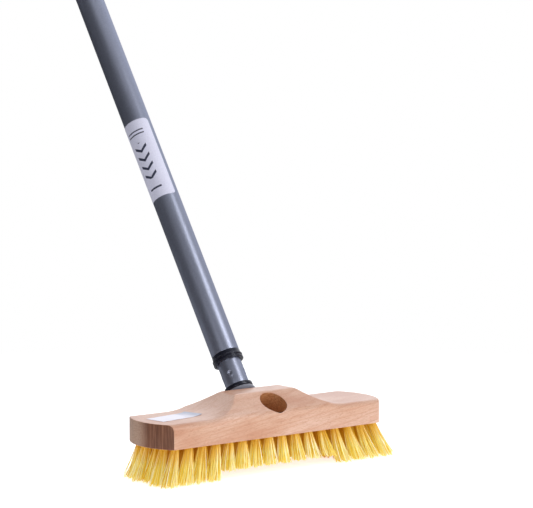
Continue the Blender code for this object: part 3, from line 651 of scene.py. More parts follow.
def turned(profile, closed=True, steps=96):
    """Turn a profile of (radius, height) round the handle's line. Open ones end on the line."""
    bm = bmesh.new()
    rings = []
    for radius, height in profile:
        ring = []
        for step in range(steps if radius else 1):
            turn = 2 * math.pi * step / steps
            ring.append(bm.verts.new((radius * math.cos(turn), radius * math.sin(turn), height)))
        rings.append(ring)
    for lower, upper in zip(rings, rings[1:] + rings[:1] if closed else rings[1:]):
        for i in range(steps):
            j = (i + 1) % steps
            corners = [lower[i % len(lower)], lower[j % len(lower)]]
            corners += [upper[j % len(upper)], upper[i % len(upper)]]
            bm.faces.new(dict.fromkeys(corners))
    bmesh.ops.recalc_face_normals(bm, faces=bm.faces)
    return bm


def add_on_handle(bm, material, body, node, sharp):
    """A finished piece made in handle space, brought into the frame."""
    bmesh.ops.transform(bm, matrix=HANDLE, verts=bm.verts)
    add_piece(node + "_skin", bm, [material], body, node, sharp)


def round_corner(before, corner, after, radius, steps=4):
    """Points of a small arc-like curve that rounds one corner of a profile."""
    corner = Vector(corner[:2])
    start = corner + (Vector(before[:2]) - corner).normalized() * radius
    end = corner + (Vector(after[:2]) - corner).normalized() * radius
    points = []
    for step in range(steps + 1):
        share = step / steps
        points.append(tuple(start.lerp(corner, share).lerp(corner.lerp(end, share), share)))
    return points


def rounded(corners):
    """A closed profile. A corner with a third value is rounded by that radius."""
    points = []
    for i, corner in enumerate(corners):
        if len(corner) == 3:
            points += round_corner(corners[i - 1], corner, corners[(i + 1) % len(corners)], corner[2])
        else:
            points.append(corner)
    return points


# The back


def crest_marks(back):
    """Distance from the middle to where the flat crest ends, and to where its rounding meets the
    hollow flank."""
    reach = back.flank_radius + back.crest_radius
    rise = back.shoulder_height + reach - BACK_HEIGHT
    end = back.hump_foot - math.sqrt(reach**2 - rise**2)
    return end, end + (back.hump_foot - end) * back.crest_radius / reach


def top_height(back, x):
    """Height of the back's top at a distance x along it."""
    x = abs(x)
    crest_end, meeting = crest_marks(back)
    if x >= back.hump_foot:
        return back.shoulder_height
    if x >= meeting:
        hollow = math.sqrt(back.flank_radius**2 - (back.hump_foot - x) ** 2)
        return back.shoulder_height + back.flank_radius - hollow
    if x >= crest_end:
        return BACK_HEIGHT - back.crest_radius + math.sqrt(back.crest_radius**2 - (x - crest_end) ** 2)
    return BACK_HEIGHT


def back_stations(back, crest_steps=8, flank_steps=26):
    """Places along the back where the loft has a section, closer where the top curves."""
    crest_end, meeting = crest_marks(back)
    crest = math.asin((meeting - crest_end) / back.crest_radius)
    flank = math.asin((back.hump_foot - meeting) / back.flank_radius)
    half = []
    for step in range(crest_steps):
        half.append(crest_end + back.crest_radius * math.sin(crest * step / crest_steps))
    for step in range(flank_steps + 1):
        half.append(back.hump_foot - back.flank_radius * math.sin(flank * (1 - step / flank_steps)))
    half.append(BACK_HIGH.x + back.end_bulge)
    return [-x for x in reversed(half)] + half


def back_section(back, height, arc_steps=10):
    """Right half of a cross-section, from the underside to the middle of the top."""
    sine, cosine = math.sin(TILT), math.cos(TILT)
    reach = HALF_WIDTH * sine + back.crease_height * cosine - back.edge_radius
    low_y = HALF_WIDTH - back.edge_radius
    top_z = height - back.edge_radius
    low_z = min((reach - low_y * sine) / cosine, top_z)
    high_y = min((reach - top_z * cosine) / sine, low_y)
    turn = math.pi / 2 - TILT
    points = [(HALF_WIDTH, 0.0)]
    for y, z, start, end in ((low_y, low_z, 0.0, turn), (high_y, top_z, turn, math.pi / 2)):
        for step in range(arc_steps + 1):
            bend = start + (end - start) * step / arc_steps
            points.append((y + back.edge_radius * math.cos(bend), z + back.edge_radius * math.sin(bend)))
    return points


def loft_back(back):
    """The board before its ends are rounded and its sockets bored."""
    bm = bmesh.new()
    rings = []
    for x in back_stations(back):
        half = back_section(back, top_height(back, x))
        loop = half + [(-y, z) for y, z in reversed(half)]
        rings.append([bm.verts.new((x, y, BACK_LOW.z + z)) for y, z in loop])
    skin(bm, rings)
    bmesh.ops.remove_doubles(bm, verts=bm.verts, dist=1e-7)
    return bm


def end_radius(back):
    """Radius of the round ends, seen from above."""
    return (HALF_WIDTH**2 + back.end_bulge**2) / (2 * back.end_bulge)


def plan_prism(back, steps=40):
    """The round-ended plan, wider than the back at its corners so that only the ends are cut."""
    radius = end_radius(back)
    turn = math.asin(HALF_WIDTH / radius)
    centre = BACK_HIGH.x - radius
    corner = centre + radius * math.cos(turn)
    outline = [(corner, -2 * HALF_WIDTH)]
    for step in range(steps + 1):
        bend = turn * (2 * step / steps - 1)
        outline.append((centre + radius * math.cos(bend), radius * math.sin(bend)))
    outline.append((corner, 2 * HALF_WIDTH))
    outline += [(-x, -y) for x, y in outline]
    # From well below the back to well above it
    return slab([(x, y, BACK_LOW.z - 0.1) for x, y in outline], (0, 0, 0.3))


def socket_matrix(back, side):
    """A socket's mouth, with Z along its bore."""
    rise = back.crease_height + (HALF_WIDTH - back.socket_offset) * math.tan(TILT)
    place = Vector((0, side * back.socket_offset, BACK_LOW.z + rise))
    return Matrix.Translation(place) @ Matrix.Rotation(-side * TILT, 4, "X")


def sort_wood_faces(bm, back):
    """Give the sawn ends and the bores' walls their own materials."""
    bore = back.socket_diameter / 2 + 0.1 * MM
    end_facing = 0.75
    inverses = [socket_matrix(back, side).inverted() for side in (-1, 1)]
    for face in bm.faces:
        centre = face.calc_center_median()
        if abs(face.normal.x) > end_facing and abs(centre.x) > back.hump_foot:
            face.material_index = 1
        for inverse in inverses:
            local = inverse @ centre
            if local.xy.length < bore and local.z < -back.softened:
                face.material_index = 2


class SCRUB_OT_back(bpy.types.Operator):
    """Make the beech back with its hump, facets and two sockets"""

    bl_idname = "scrub.back"
    bl_label = "Back"

    def execute(self, context):
        back = context.scene.scrub_back
        finish = context.scene.scrub_finish
        tools = [(plan_prism(back), "INTERSECT")]
        for side in (-1, 1):
            bore = rod(back.socket_diameter, 2 * back.socket_depth, socket_matrix(back, side), 96)
            tools.append((bore, "DIFFERENCE"))
        bm = carved(loft_back(back), tools)
        soften_edges(bm, back.softened)
        sort_wood_faces(bm, back)
        materials = [beech_side(finish), beech_end(finish), beech_bore()]
        add_piece("beech_back", bm, materials, "root", "brush_block", 40)
        return {"FINISHED"}


# The tufts


def tuft_places(tufts, back):
    """Every tuft's root and tip, in rows staggered by half a pitch, with one more at a round end
    where a row stops well short of it. All lean out from the middle, and those beyond the split
    are the beards, which reach the lowest point of the frame."""
    radius = end_radius(back)
    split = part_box("bristle_beard_right")[0].x
    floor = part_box("bristle_beard_right")[0].z
    room_for_more = 0.75 * tufts.pitch
    closer_pitch = 0.7 * tufts.pitch
    end_tufts = BACK_HIGH.x - 1.4 * tufts.pitch
    places = []
    for row in range(tufts.rows):
        y = (row - (tufts.rows - 1) / 2) * tufts.row_pitch
        start = 0.5 if (tufts.field_tufts + row) % 2 == 0 else 0.0
        limit = BACK_HIGH.x - radius + math.sqrt((radius - tufts.end_inset) ** 2 - y**2)
        steps = int(limit / tufts.pitch - start) + 1
        reaches = [(step + start) * tufts.pitch for step in range(steps)]
        if limit - reaches[-1] > room_for_more:
            reaches.append(reaches[-1] + closer_pitch)
        for x in [-reach for reach in reversed(reaches) if reach > 0] + reaches:
            splay = tufts.splay_right if x > 0 else tufts.splay_left
            if x < 0:
                x -= tufts.left_inset * x / BACK_HIGH.x
            tip = Vector((x + splay * x / BACK_HIGH.x, y + tufts.splay_side * y / HALF_WIDTH, 0.0))
            if abs(x) > split:
                tip.z = floor
            outer = row in (0, tufts.rows - 1) or abs(x) > end_tufts
            places.append((Vector((x, y, BACK_LOW.z)), tip, 1.0 if outer else 0.0))
    return places


def tuft_points(name, places, turn_step=2.4):
    """A mesh with one vertex for each tuft, which carries its tip, a turn and how open it stands,
    which sets the fibres' painted shade.
    """
    mesh = bpy.data.meshes.new(name)
    mesh.from_pydata([root for root, _, _ in places], [], [])
    for attribute, kind in (("tip", "FLOAT_VECTOR"), ("turn", "FLOAT"), ("open", "FLOAT")):
        mesh.attributes.new(attribute, kind, "POINT")
    for index, (_, tip, openness) in enumerate(places):
        mesh.attributes["tip"].data[index].vector = tip
        mesh.attributes["turn"].data[index].value = turn_step * index
        mesh.attributes["open"].data[index].value = openness
    return link_object(name, mesh)


def tuft_tree(material):
    """Nodes that grow a fan of curved fibres from each point. Returns the tree."""
    tree = bpy.data.node_groups.new("fibre_tufts", "GeometryNodeTree")
    for name, kind in (
        ("Geometry", "Geometry"),
        ("Fibres", "Int"),
        ("Bundle Radius", "Float"),
        ("Fan Radius", "Float"),
        ("Fibre Diameter", "Float"),
        ("Ragged", "Float"),
        ("Sway", "Float"),
        ("Lowest", "Vector"),
        ("Highest", "Vector"),
        ("Seed", "Int"),
    ):
        tree.interface.new_socket(name, in_out="INPUT", socket_type="NodeSocket" + kind)
    tree.interface.new_socket("Geometry", in_out="OUTPUT", socket_type="NodeSocketGeometry")
    given = add_node(tree, "NodeGroupInput").node.outputs

    points = add_node(tree, "GeometryNodeMeshToPoints", given["Geometry"])
    copies = add_node(
        tree, "GeometryNodeDuplicateElements", Geometry=points, Amount=given["Fibres"], domain="POINT"
    )
    which = copies.node.outputs["Duplicate Index"]

    # Six random draws for each fibre, told apart by the number that is added to the seed
    index = add_node(tree, "GeometryNodeInputIndex")
    draws = []
    for place, low in enumerate((-1.0, -1.0, 0.0, 0.0, -1.0, -1.0), start=1):
        seed = add_node(tree, MATH, given["Seed"], place, operation="ADD")
        draws.append(add_node(tree, "FunctionNodeRandomValue", low, 1.0, index, seed, data_type="FLOAT"))
    tip_x, tip_y, trim, shade, bend_x, bend_y = draws

    # The fibres of a tuft stand in a spiral with the golden angle, which fills its round evenly
    golden_angle = 2.39996
    share = add_node(tree, MATH, which, 0.5, operation="ADD")
    share = add_node(tree, MATH, share, given["Fibres"], operation="DIVIDE")
    radius = add_node(tree, MATH, share, 0.5, operation="POWER")
    spiral = add_node(tree, MATH, which, golden_angle, operation="MULTIPLY")
    spiral = add_node(tree, MATH, spiral, add_node(tree, NAMED, "turn", data_type="FLOAT"), operation="ADD")
    sides = [add_node(tree, MATH, spiral, operation=way) for way in ("COSINE", "SINE")]
    sides = [add_node(tree, MATH, side, radius, operation="MULTIPLY") for side in sides]
    disc = add_node(tree, "ShaderNodeCombineXYZ", *sides)

    # A fibre's root starts a little inside the wood
    root_depth = 1.2 * MM
    root = add_node(tree, VECTOR, disc, given["Bundle Radius"], operation="SCALE")
    root = add_node(tree, VECTOR, add_node(tree, "GeometryNodeInputPosition"), root, operation="ADD")
    root = add_node(tree, VECTOR, root, (0, 0, root_depth), operation="ADD")

    # Its tip strays, is cut unevenly, most often near its full length, and stays inside the box of
    # the nodes that it stands for
    cut_power = 1.5
    fan = add_node(tree, VECTOR, disc, given["Fan Radius"], operation="SCALE")
    tip = add_node(tree, VECTOR, add_node(tree, NAMED, "tip", data_type="FLOAT_VECTOR"), fan, operation="ADD")
    stray = add_node(tree, "ShaderNodeCombineXYZ", tip_x, tip_y)
    stray = add_node(tree, VECTOR, stray, given["Sway"], operation="SCALE")
    tip = add_node(tree, VECTOR, tip, stray, operation="ADD")
    cut = add_node(tree, MATH, trim, cut_power, operation="POWER")
    cut = add_node(tree, MATH, cut, given["Ragged"], operation="MULTIPLY")
    tip = add_node(tree, VECTOR, tip, add_node(tree, "ShaderNodeCombineXYZ", Z=cut), operation="ADD")
    tip = add_node(tree, VECTOR, tip, given["Lowest"], operation="MAXIMUM")
    tip = add_node(tree, VECTOR, tip, given["Highest"], operation="MINIMUM")

    # Its middle bends aside, and stays back by a share of the lean, so that it flares to its tip
    stay_back = 0.09
    middle = add_node(tree, VECTOR, root, tip, operation="ADD")
    middle = add_node(tree, VECTOR, middle, 0.5, operation="SCALE")
    hang = add_node(tree, VECTOR, root, tip, operation="SUBTRACT")
    hang = add_node(tree, VECTOR, hang, (stay_back, stay_back, 0), operation="MULTIPLY")
    bend = add_node(tree, "ShaderNodeCombineXYZ", bend_x, bend_y)
    bend = add_node(tree, VECTOR, bend, given["Sway"], operation="SCALE")
    bend = add_node(tree, VECTOR, bend, hang, operation="ADD")
    middle = add_node(tree, VECTOR, middle, bend, operation="ADD")

    grown = copies
    for name, value, kind in (
        ("root_at", root, "FLOAT_VECTOR"),
        ("middle_at", middle, "FLOAT_VECTOR"),
        ("tip_at", tip, "FLOAT_VECTOR"),
        ("shade", shade, "FLOAT"),
    ):
        grown = add_node(tree, STORE, grown, Name=name, Value=value, data_type=kind)
    line = add_node(tree, "GeometryNodeCurvePrimitiveLine")
    stem = add_node(tree, "GeometryNodeResampleCurve", line, Count=6)
    grown = add_node(tree, "GeometryNodeInstanceOnPoints", grown, Instance=stem)
    grown = add_node(tree, "GeometryNodeRealizeInstances", grown)
    reach = add_node(tree, "GeometryNodeSplineParameter", out="Factor")
    grown = add_node(tree, STORE, grown, Name="reach", Value=reach, data_type="FLOAT")

    # Each stem follows the curve from root through middle to tip
    reach = add_node(tree, NAMED, "reach", data_type="FLOAT")
    names = ("root_at", "middle_at", "tip_at")
    ends = [add_node(tree, NAMED, name, data_type="FLOAT_VECTOR") for name in names]
    while len(ends) > 1:
        pairs = zip(ends, ends[1:])
        ends = [add_node(tree, MIX, reach, first, second, data_type="VECTOR") for first, second in pairs]
    grown = add_node(tree, "GeometryNodeSetPosition", grown, Position=ends[0])
    radius = add_node(tree, MATH, given["Fibre Diameter"], 2.0, operation="DIVIDE")
    profile = add_node(tree, "GeometryNodeCurvePrimitiveCircle", 3, radius)
    grown = add_node(tree, "GeometryNodeCurveToMesh", grown, profile, Fill_Caps=True)
    grown = add_node(tree, "GeometryNodeRealizeInstances", grown)
    grown = add_node(tree, "GeometryNodeSetMaterial", grown, Material=material)
    add_node(tree, "NodeGroupOutput", grown)
    return tree


def set_inputs(modifier, values):
    """Set a node modifier's inputs by their sockets' identifiers."""
    for item in modifier.node_group.interface.items_tree:
        if item.in_out == "INPUT" and item.name in values:
            modifier[item.identifier] = values[item.name]


def as_plain_mesh(piece):
    """Turn an object's evaluated shape into a plain mesh and drop its modifiers."""
    evaluated = piece.evaluated_get(bpy.context.evaluated_depsgraph_get())
    mesh = bpy.data.meshes.new_from_object(evaluated)
    piece.modifiers.clear()
    piece.data = mesh


class SCRUB_OT_tufts(bpy.types.Operator):
    """Grow the tufts: a trimmed middle and a longer beard at each end"""

    bl_idname = "scrub.tufts"
    bl_label = "Tufts"

    def execute(self, context):
        tufts = context.scene.scrub_tufts
        places = tuft_places(tufts, context.scene.scrub_back)
        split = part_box("bristle_beard_right")[0].x
        rows = [f"bristle_row_{row + 1}" for row in range(tufts.rows)]
        tree = tuft_tree(fibre_material(context.scene.scrub_finish))
        groups = (
            ("middle_tufts", rows, [place for place in places if abs(place[0].x) < split]),
            ("left_beard", ["bristle_beard_left"], [place for place in places if place[0].x < -split]),
            ("right_beard", ["bristle_beard_right"], [place for place in places if place[0].x > split]),
        )
        for name, nodes, members in groups:
            beard = nodes is not rows
            boxes = [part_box(node) for node in nodes]
            lowest = Vector([min(low[axis] for low, _ in boxes) for axis in range(3)])
            highest = Vector([max(high[axis] for _, high in boxes) for axis in range(3)])
            edge = tufts.fibre_diameter / 2
            values = {
                "Fibres": tufts.fibres,
                "Bundle Radius": tufts.bundle_radius,
                "Fan Radius": tufts.beard_radius if beard else tufts.fan_radius,
                "Fibre Diameter": tufts.fibre_diameter,
                "Ragged": tufts.beard_ragged if beard else tufts.ragged,
                "Sway": tufts.sway,
                "Lowest": lowest + Vector((edge, edge, edge / 2)),
                "Highest": highest - Vector((edge, edge, edge)),
                "Seed": tufts.seed,
            }
            piece = tuft_points(name, members)
            modifier = piece.modifiers.new("fibres", "NODES")
            modifier.node_group = tree
            set_inputs(modifier, values)
            as_plain_mesh(piece)
            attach(piece, "root")
            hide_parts(*nodes)
        return {"FINISHED"}


# The handle


def crimp_place(handle):
    """Height of the crimps along the handle."""
    return along_handle("inner_tube")[0] + handle.crimp_height


def dent_tube(bm, handle, radius):
    """Press round dents into the tube, each with a slightly raised lip."""
    dent_steepness = 2.2
    lip_height = 0.25
    lip_place = 1.6
    lip_steepness = 4.8
    crimp = crimp_place(handle)
    pitch = 2 * math.pi / handle.crimps
    for vertex in bm.verts:
        distance = vertex.co.xy.length
        turn = math.atan2(vertex.co.y, vertex.co.x) - handle.crimp_angle
        arc = (turn - pitch * round(turn / pitch)) * radius
        away = math.hypot(arc, vertex.co.z - crimp) / handle.crimp_spread
        hollow = math.exp(-dent_steepness * away**2)
        lip = lip_height * math.exp(-lip_steepness * (away - lip_place) ** 2)
        vertex.co.xy *= 1 - handle.crimp_depth * (hollow - lip) / distance


class SCRUB_OT_tubes(bpy.types.Operator):
    """Make the outer tube and the crimped inner tube"""

    bl_idname = "scrub.tubes"
    bl_label = "Tubes"

    def execute(self, context):
        handle = context.scene.scrub_handle
        finish = context.scene.scrub_finish
        material = enamel("satin_grey_enamel", finish.enamel, finish.enamel_dark)
        rim = handle.rim
        low, high, _, _ = along_handle("outer_tube")
        radius = handle.outer_diameter / 2
        bore = radius - handle.wall
        bm = turned(rounded([(bore, low, rim), (radius, low, rim), (radius, high, rim), (bore, high, rim)]))
        add_on_handle(bm, material, "upper_handle", "outer_tube", 50)

        # The inner tube has more rings round its crimps, 12 above and 12 below
        low, high, _, _ = along_handle("inner_tube")
        radius = handle.inner_diameter / 2
        bore = radius - handle.wall
        corners = [(bore, low), (radius, low), (radius, high), (bore, high)]
        ring_gap = 0.25 * handle.crimp_spread
        heights = [crimp_place(handle) + ring_gap * step for step in range(-12, 13)]
        profile = round_corner(*corners[:3], rim) + [(radius, height) for height in heights]
        profile += round_corner(*corners[1:], rim) + [(bore, high)]
        profile += [(bore, height) for height in reversed(heights)] + [(bore, low)]
        bm = turned(profile)
        dent_tube(bm, handle, radius)
        add_on_handle(bm, material, "root", "inner_tube", 60)
        return {"FINISHED"}


class SCRUB_OT_fittings(bpy.types.Operator):
    """Make the tip, the ring above it and the guide collar"""

    bl_idname = "scrub.fittings"
    bl_label = "Fittings"

    def execute(self, context):
        handle = context.scene.scrub_handle
        finish = context.scene.scrub_finish
        black = moulded("black_polypropylene", finish.black, finish.black_worn, 0.26)
        grey = moulded("grey_polypropylene", finish.grey, finish.grey_worn, 0.42)
        make_tip(grey, handle)
        low, high, bore, radius = along_handle("tip_ring")
        edge = 0.8 * MM
        bm = turned(rounded([(bore, low), (radius, low, edge), (radius, high, edge), (bore, high)]))
        add_on_handle(bm, black, "root", "tip_ring", 50)
        make_collar(black, handle)
        return {"FINISHED"}


def make_tip(material, handle):
    """The grey tip: its flared skirt shows above the wood, its spigot and stem don't."""
    low, high, _, skirt = along_handle("handle_tip")
    ring_above_wood = 5.3 * MM
    wood = along_handle("tip_ring")[0] - ring_above_wood
    seat = wood + 0.3 * MM
    bend = wood + 2.4 * MM
    top = wood + 5 * MM
    skirt_top = skirt - 1.4 * MM
    spigot = 11.95 * MM
    stem = 9.5 * MM
    chamfer = 1.5 * MM
    profile = [(0, low), (spigot - chamfer, low), (spigot, low + chamfer), (spigot, seat)]
    profile += round_corner((spigot, seat), (skirt, seat), (skirt, bend), 0.7 * MM)
    profile += round_corner((skirt, seat), (skirt, bend), (skirt_top, top), 0.8 * MM)
    profile += round_corner((skirt, wood + 3 * MM), (skirt_top, top), (stem, top), 0.5 * MM)
    # The crimps reach into a waist round the stem
    crimp = crimp_place(handle)
    waist = 8.6 * MM
    half_waist = 3.4 * MM
    slope = 1 * MM
    profile += [(stem, top), (stem, crimp - half_waist - slope), (waist, crimp - half_waist)]
    profile += [(waist, crimp + half_waist), (stem, crimp + half_waist + slope)]
    profile += [(stem, high - chamfer), (stem - chamfer, high), (0, high)]
    add_on_handle(turned(profile, closed=False), material, "root", "handle_tip", 40)


def make_collar(material, handle):
    """The guide collar: a neck hardly wider than the tube, a fatter grooved body and one hanging
    tooth."""
    _, high, bore, _ = along_handle("guide_collar")
    rim = along_handle("outer_tube")[0]
    start = rim - handle.collar_reach
    shoulder = rim - 3.6 * MM
    top = rim - 0.3 * MM
    body = handle.collar_diameter / 2
    neck = 12.7 * MM
    sleeve = 11.5 * MM
    groove = start + 2.4 * MM
    groove_floor = body - 0.7 * MM
    corners = [
        (bore, start),
        (body, start, 0.6 * MM),
        (body, groove - 0.9 * MM, 0.25 * MM),
        (groove_floor, groove - 0.5 * MM),
        (groove_floor, groove + 0.5 * MM),
        (body, groove + 0.9 * MM, 0.25 * MM),
        (body, shoulder, 0.6 * MM),
        (neck, shoulder, 0.15 * MM),
        (neck, top, 0.3 * MM),
        (sleeve, top),
        (sleeve, high),
        (bore, high),
    ]
    bm = turned(rounded(corners))
    # The tooth is drawn down out of the lower rim, with steep sides
    tooth_length = 2.8 * MM
    tooth_steepness = 3
    half_tooth = math.radians(7)
    rim_top = start + 0.7 * MM
    rim_inside = bore + 0.5 * MM
    for vertex in bm.verts:
        turn = math.atan2(vertex.co.y, vertex.co.x) - handle.tooth_angle
        turn = abs((turn + math.pi) % (2 * math.pi) - math.pi)
        at_rim = vertex.co.z < rim_top and vertex.co.xy.length > rim_inside
        if turn < half_tooth and at_rim:
            vertex.co.z -= tooth_length * min(1.0, tooth_steepness * (1 - turn / half_tooth))
    add_on_handle(bm, material, "upper_handle", "guide_collar", 45)


class SCRUB_OT_lock(bpy.types.Operator):
    """Finish the twist lock's pieces inside the tube"""

    bl_idname = "scrub.lock"
    bl_label = "Twist Lock"

    def execute(self, context):
        nylon = moulded("natural_nylon", linear("DAD8CE"), linear("E6E4DC"), 0.4)
        black = moulded("black_acetal", linear("17171B"), linear("26262C"), 0.3)
        steel = zinc_steel()
        finishes = {
            "lock_plug": nylon,
            "lock_cone": nylon,
            "lock_sleeve": black,
            "lock_washer": steel,
            "lock_screw": steel,
        }
        for name, material in finishes.items():
            for place in frame["nodes"][name].material_slots:
                place.material = material
        return {"FINISHED"}


class SCRUB_OT_top_end(bpy.types.Operator):
    """Make the ribbed hand grip and the cap with its hanging eye"""

    bl_idname = "scrub.top_end"
    bl_label = "Grip and Cap"

    def execute(self, context):
        handle = context.scene.scrub_handle
        make_grip(grip_rubber(context.scene.scrub_finish), handle)
        make_cap(moulded("black_cap_polypropylene", linear("141417"), linear("26262B"), 0.4), handle)
        return {"FINISHED"}


def make_grip(material, handle):
    """The rubber sleeve, with round-bottomed grooves between its plain ends."""
    low, high, _, _ = along_handle("hand_grip")
    radius = handle.grip_diameter / 2
    bore = handle.outer_diameter / 2 + 0.3 * MM
    shoulder = 4 * MM
    edge = 1.8 * MM
    groove_depth = 1.1 * MM
    half_mouth = 0.24
    plain_end = 3 * shoulder
    pitch = (high - low - 2 * plain_end) / handle.grip_grooves
    profile = round_corner((bore, low), (radius, low), (radius, low + shoulder), edge, 6)
    for groove in range(handle.grip_grooves):
        middle = low + plain_end + (groove + 0.5) * pitch
        for step in range(-6, 7):
            away = step / 6
            depth = groove_depth * math.cos(math.pi * away / 2) ** 2
            profile.append((radius - depth, middle + half_mouth * pitch * away))
    profile += round_corner((radius, high - shoulder), (radius, high), (bore, high), edge, 6)
    profile += [(bore, high), (bore, low)]
    add_on_handle(turned(profile), material, "upper_handle", "hand_grip", 50)


def make_cap(material, handle, dome_steps=12, eye_steps=32):
    """The end cap: a spigot in the tube, a flange, a dome and a flat eye with its hole."""
    low, high, _, _ = along_handle("hanging_cap")
    radius = handle.outer_diameter / 2
    spigot = 11.5 * MM
    flange = low + 18.3 * MM
    dome = flange + 3 * MM
    dome_height = 6 * MM
    profile = [(0, low), (spigot, low), (spigot, flange)]
    profile += round_corner((spigot, flange), (radius, flange), (radius, dome), 0.4 * MM)
    for step in range(dome_steps):
        bend = math.pi / 2 * step / dome_steps
        profile.append((radius * math.cos(bend), dome + dome_height * math.sin(bend)))
    profile.append((0, dome + dome_height))

    eye = handle.eye_diameter / 2
    centre = high - eye
    half = 2.5 * MM
    foot = flange + 1.5 * MM
    outline = [(-half, -eye, foot), (-half, eye, foot)]
    for step in range(eye_steps + 1):
        bend = math.pi * step / eye_steps
        outline.append((-half, eye * math.cos(bend), centre + eye * math.sin(bend)))
    across = Matrix.Translation((0, 0, centre)) @ Matrix.Rotation(math.pi / 2, 4, "Y")
    plate = slab(outline, (2 * half, 0, 0))
    hole = rod(handle.eye_hole, 15 * MM, across, 64)
    bm = carved(turned(profile, closed=False), [(plate, "UNION"), (hole, "DIFFERENCE")])
    soften_edges(bm, 0.35 * MM)
    add_on_handle(bm, material, "upper_handle", "hanging_cap", 40)


# Labels


def film_mesh(rings):
    """A thin closed film from rings of four corners, each a point and its UV."""
    bm = bmesh.new()
    uv = bm.loops.layers.uv.new("UVMap")
    places = {}
    made = []
    for ring in rings:
        made.append([bm.verts.new(point) for point, _ in ring])
        places.update(zip(made[-1], [place for _, place in ring]))
    skin(bm, made)
    bmesh.ops.recalc_face_normals(bm, faces=bm.faces)
    for face in bm.faces:
        for loop in face.loops:
            loop[uv].uv = places[loop.vert]
    return bm


def wrap_label(label, handle, material, columns=72, corner_steps=8):
    """The sticker round the outer tube, with rounded corners."""
    low, high, _, _ = along_handle("handle_label")
    radius = handle.outer_diameter / 2
    inner = radius + label.gap
    outer = inner + label.thickness
    corner = label.corner
    places = [corner * (1 - math.cos(math.pi / 2 * i / corner_steps)) for i in range(corner_steps)]
    places += [corner + (label.wrap - 2 * corner) * i / columns for i in range(columns + 1)]
    places += [label.wrap - place for place in reversed(places[:corner_steps])]
    rings = []
    for place in places:
        margin = min(place, label.wrap - place, corner)
        cut = corner - math.sqrt(max(corner**2 - (corner - margin) ** 2, 0.0))
        turn = label.edge_angle - place / radius
        bottom, top = low + cut, high - cut
        ring = []
        for distance, height in ((inner, bottom), (outer, bottom), (outer, top), (inner, top)):
            point = HANDLE @ Vector((distance * math.cos(turn), distance * math.sin(turn), height))
            ring.append((point, (place, height - low)))
        rings.append(ring)
    bm = film_mesh(rings)
    add_piece("handle_sticker", bm, [material], "upper_handle", "handle_label", 50)


def shoulder_label(label, back, material, columns=40):
    """A sticker on the wood, a little cockled, with its right-hand end lifting."""
    gap = 0.06 * MM
    curl_height = 0.35 * MM
    curl_start = 0.86
    cockle_height = 0.05 * MM
    cockle_turns = 23.0
    turn = Matrix.Rotation(label.back_turn, 3, "Z")
    middle = Vector((label.back_x, label.back_y, 0))
    film = Vector((0, 0, label.thickness))
    rings = []
    for column in range(columns + 1):
        share = column / columns
        lift = gap + curl_height * max(0.0, (share - curl_start) / (1 - curl_start)) ** 2
        lift += cockle_height * (1 + math.sin(share * cockle_turns))
        along = label.back_length * (share - 0.5)
        near, far = (along, -label.back_width / 2), (along, label.back_width / 2)
        ring = []
        for place, above in ((near, 0), (far, 0), (far, 1), (near, 1)):
            point = turn @ Vector((*place, 0)) + middle
            point.z = BACK_LOW.z + top_height(back, point.x) + lift
            ring.append((point + film * above, place))
        rings.append(ring)
    bm = film_mesh(rings)
    add_piece("shoulder_sticker", bm, [material], "root", "block_label", 50)


class SCRUB_OT_labels(bpy.types.Operator):
    """Make the bare sticker on the shoulder and the printed one round the handle"""

    bl_idname = "scrub.labels"
    bl_label = "Labels"

    def execute(self, context):
        label = context.scene.scrub_label
        finish = context.scene.scrub_finish
        printed = sticker_film("printed_sticker_film", finish.sticker, finish.sticker_dull, finish.ink)
        wrap_label(label, context.scene.scrub_handle, printed)
        bare = sticker_film("bare_sticker_film", linear("E4E1EC"), linear("D9D6E2"))
        shoulder_label(label, context.scene.scrub_back, bare)
        return {"FINISHED"}


# The stage

# Each light's name, its place from the back's middle (to the camera's right, away from the camera,
# up), the height it aims at, its width and height, all in metres, its power in watts and its colour
LIGHTS = (
    ("key_softbox", (1.62, -0.8, 1.1), 0.1, (0.9, 1.8), 19.5, "FFFEFC"),
    ("top_softbox", (-0.4, 0.2, 1.9), 0.0, (1.2, 1.2), 8, "FFFFFF"),
    ("fill_softbox", (-0.3, -1.9, 0.5), 0.0, (1.2, 0.8), 8, "FCFDFF"),
    ("rim_softbox", (-1.3, 1.0, 1.2), 0.0, (0.9, 0.9), 4, "FFFFFF"),
)
FLOOR_RADIUS = 2.4


def add_softbox(name, place, target, size, power, code):
    """A square-cornered area light that faces its target."""
    data = bpy.data.lights.new(name, "AREA")
    data.shape = "RECTANGLE"
    data.size, data.size_y = size
    data.energy = power
    data.color = linear(code)[:3]
    lamp = link_object(name, data)
    lamp.location = place
    lamp.rotation_euler = (target - place).to_track_quat("-Z", "Y").to_euler()


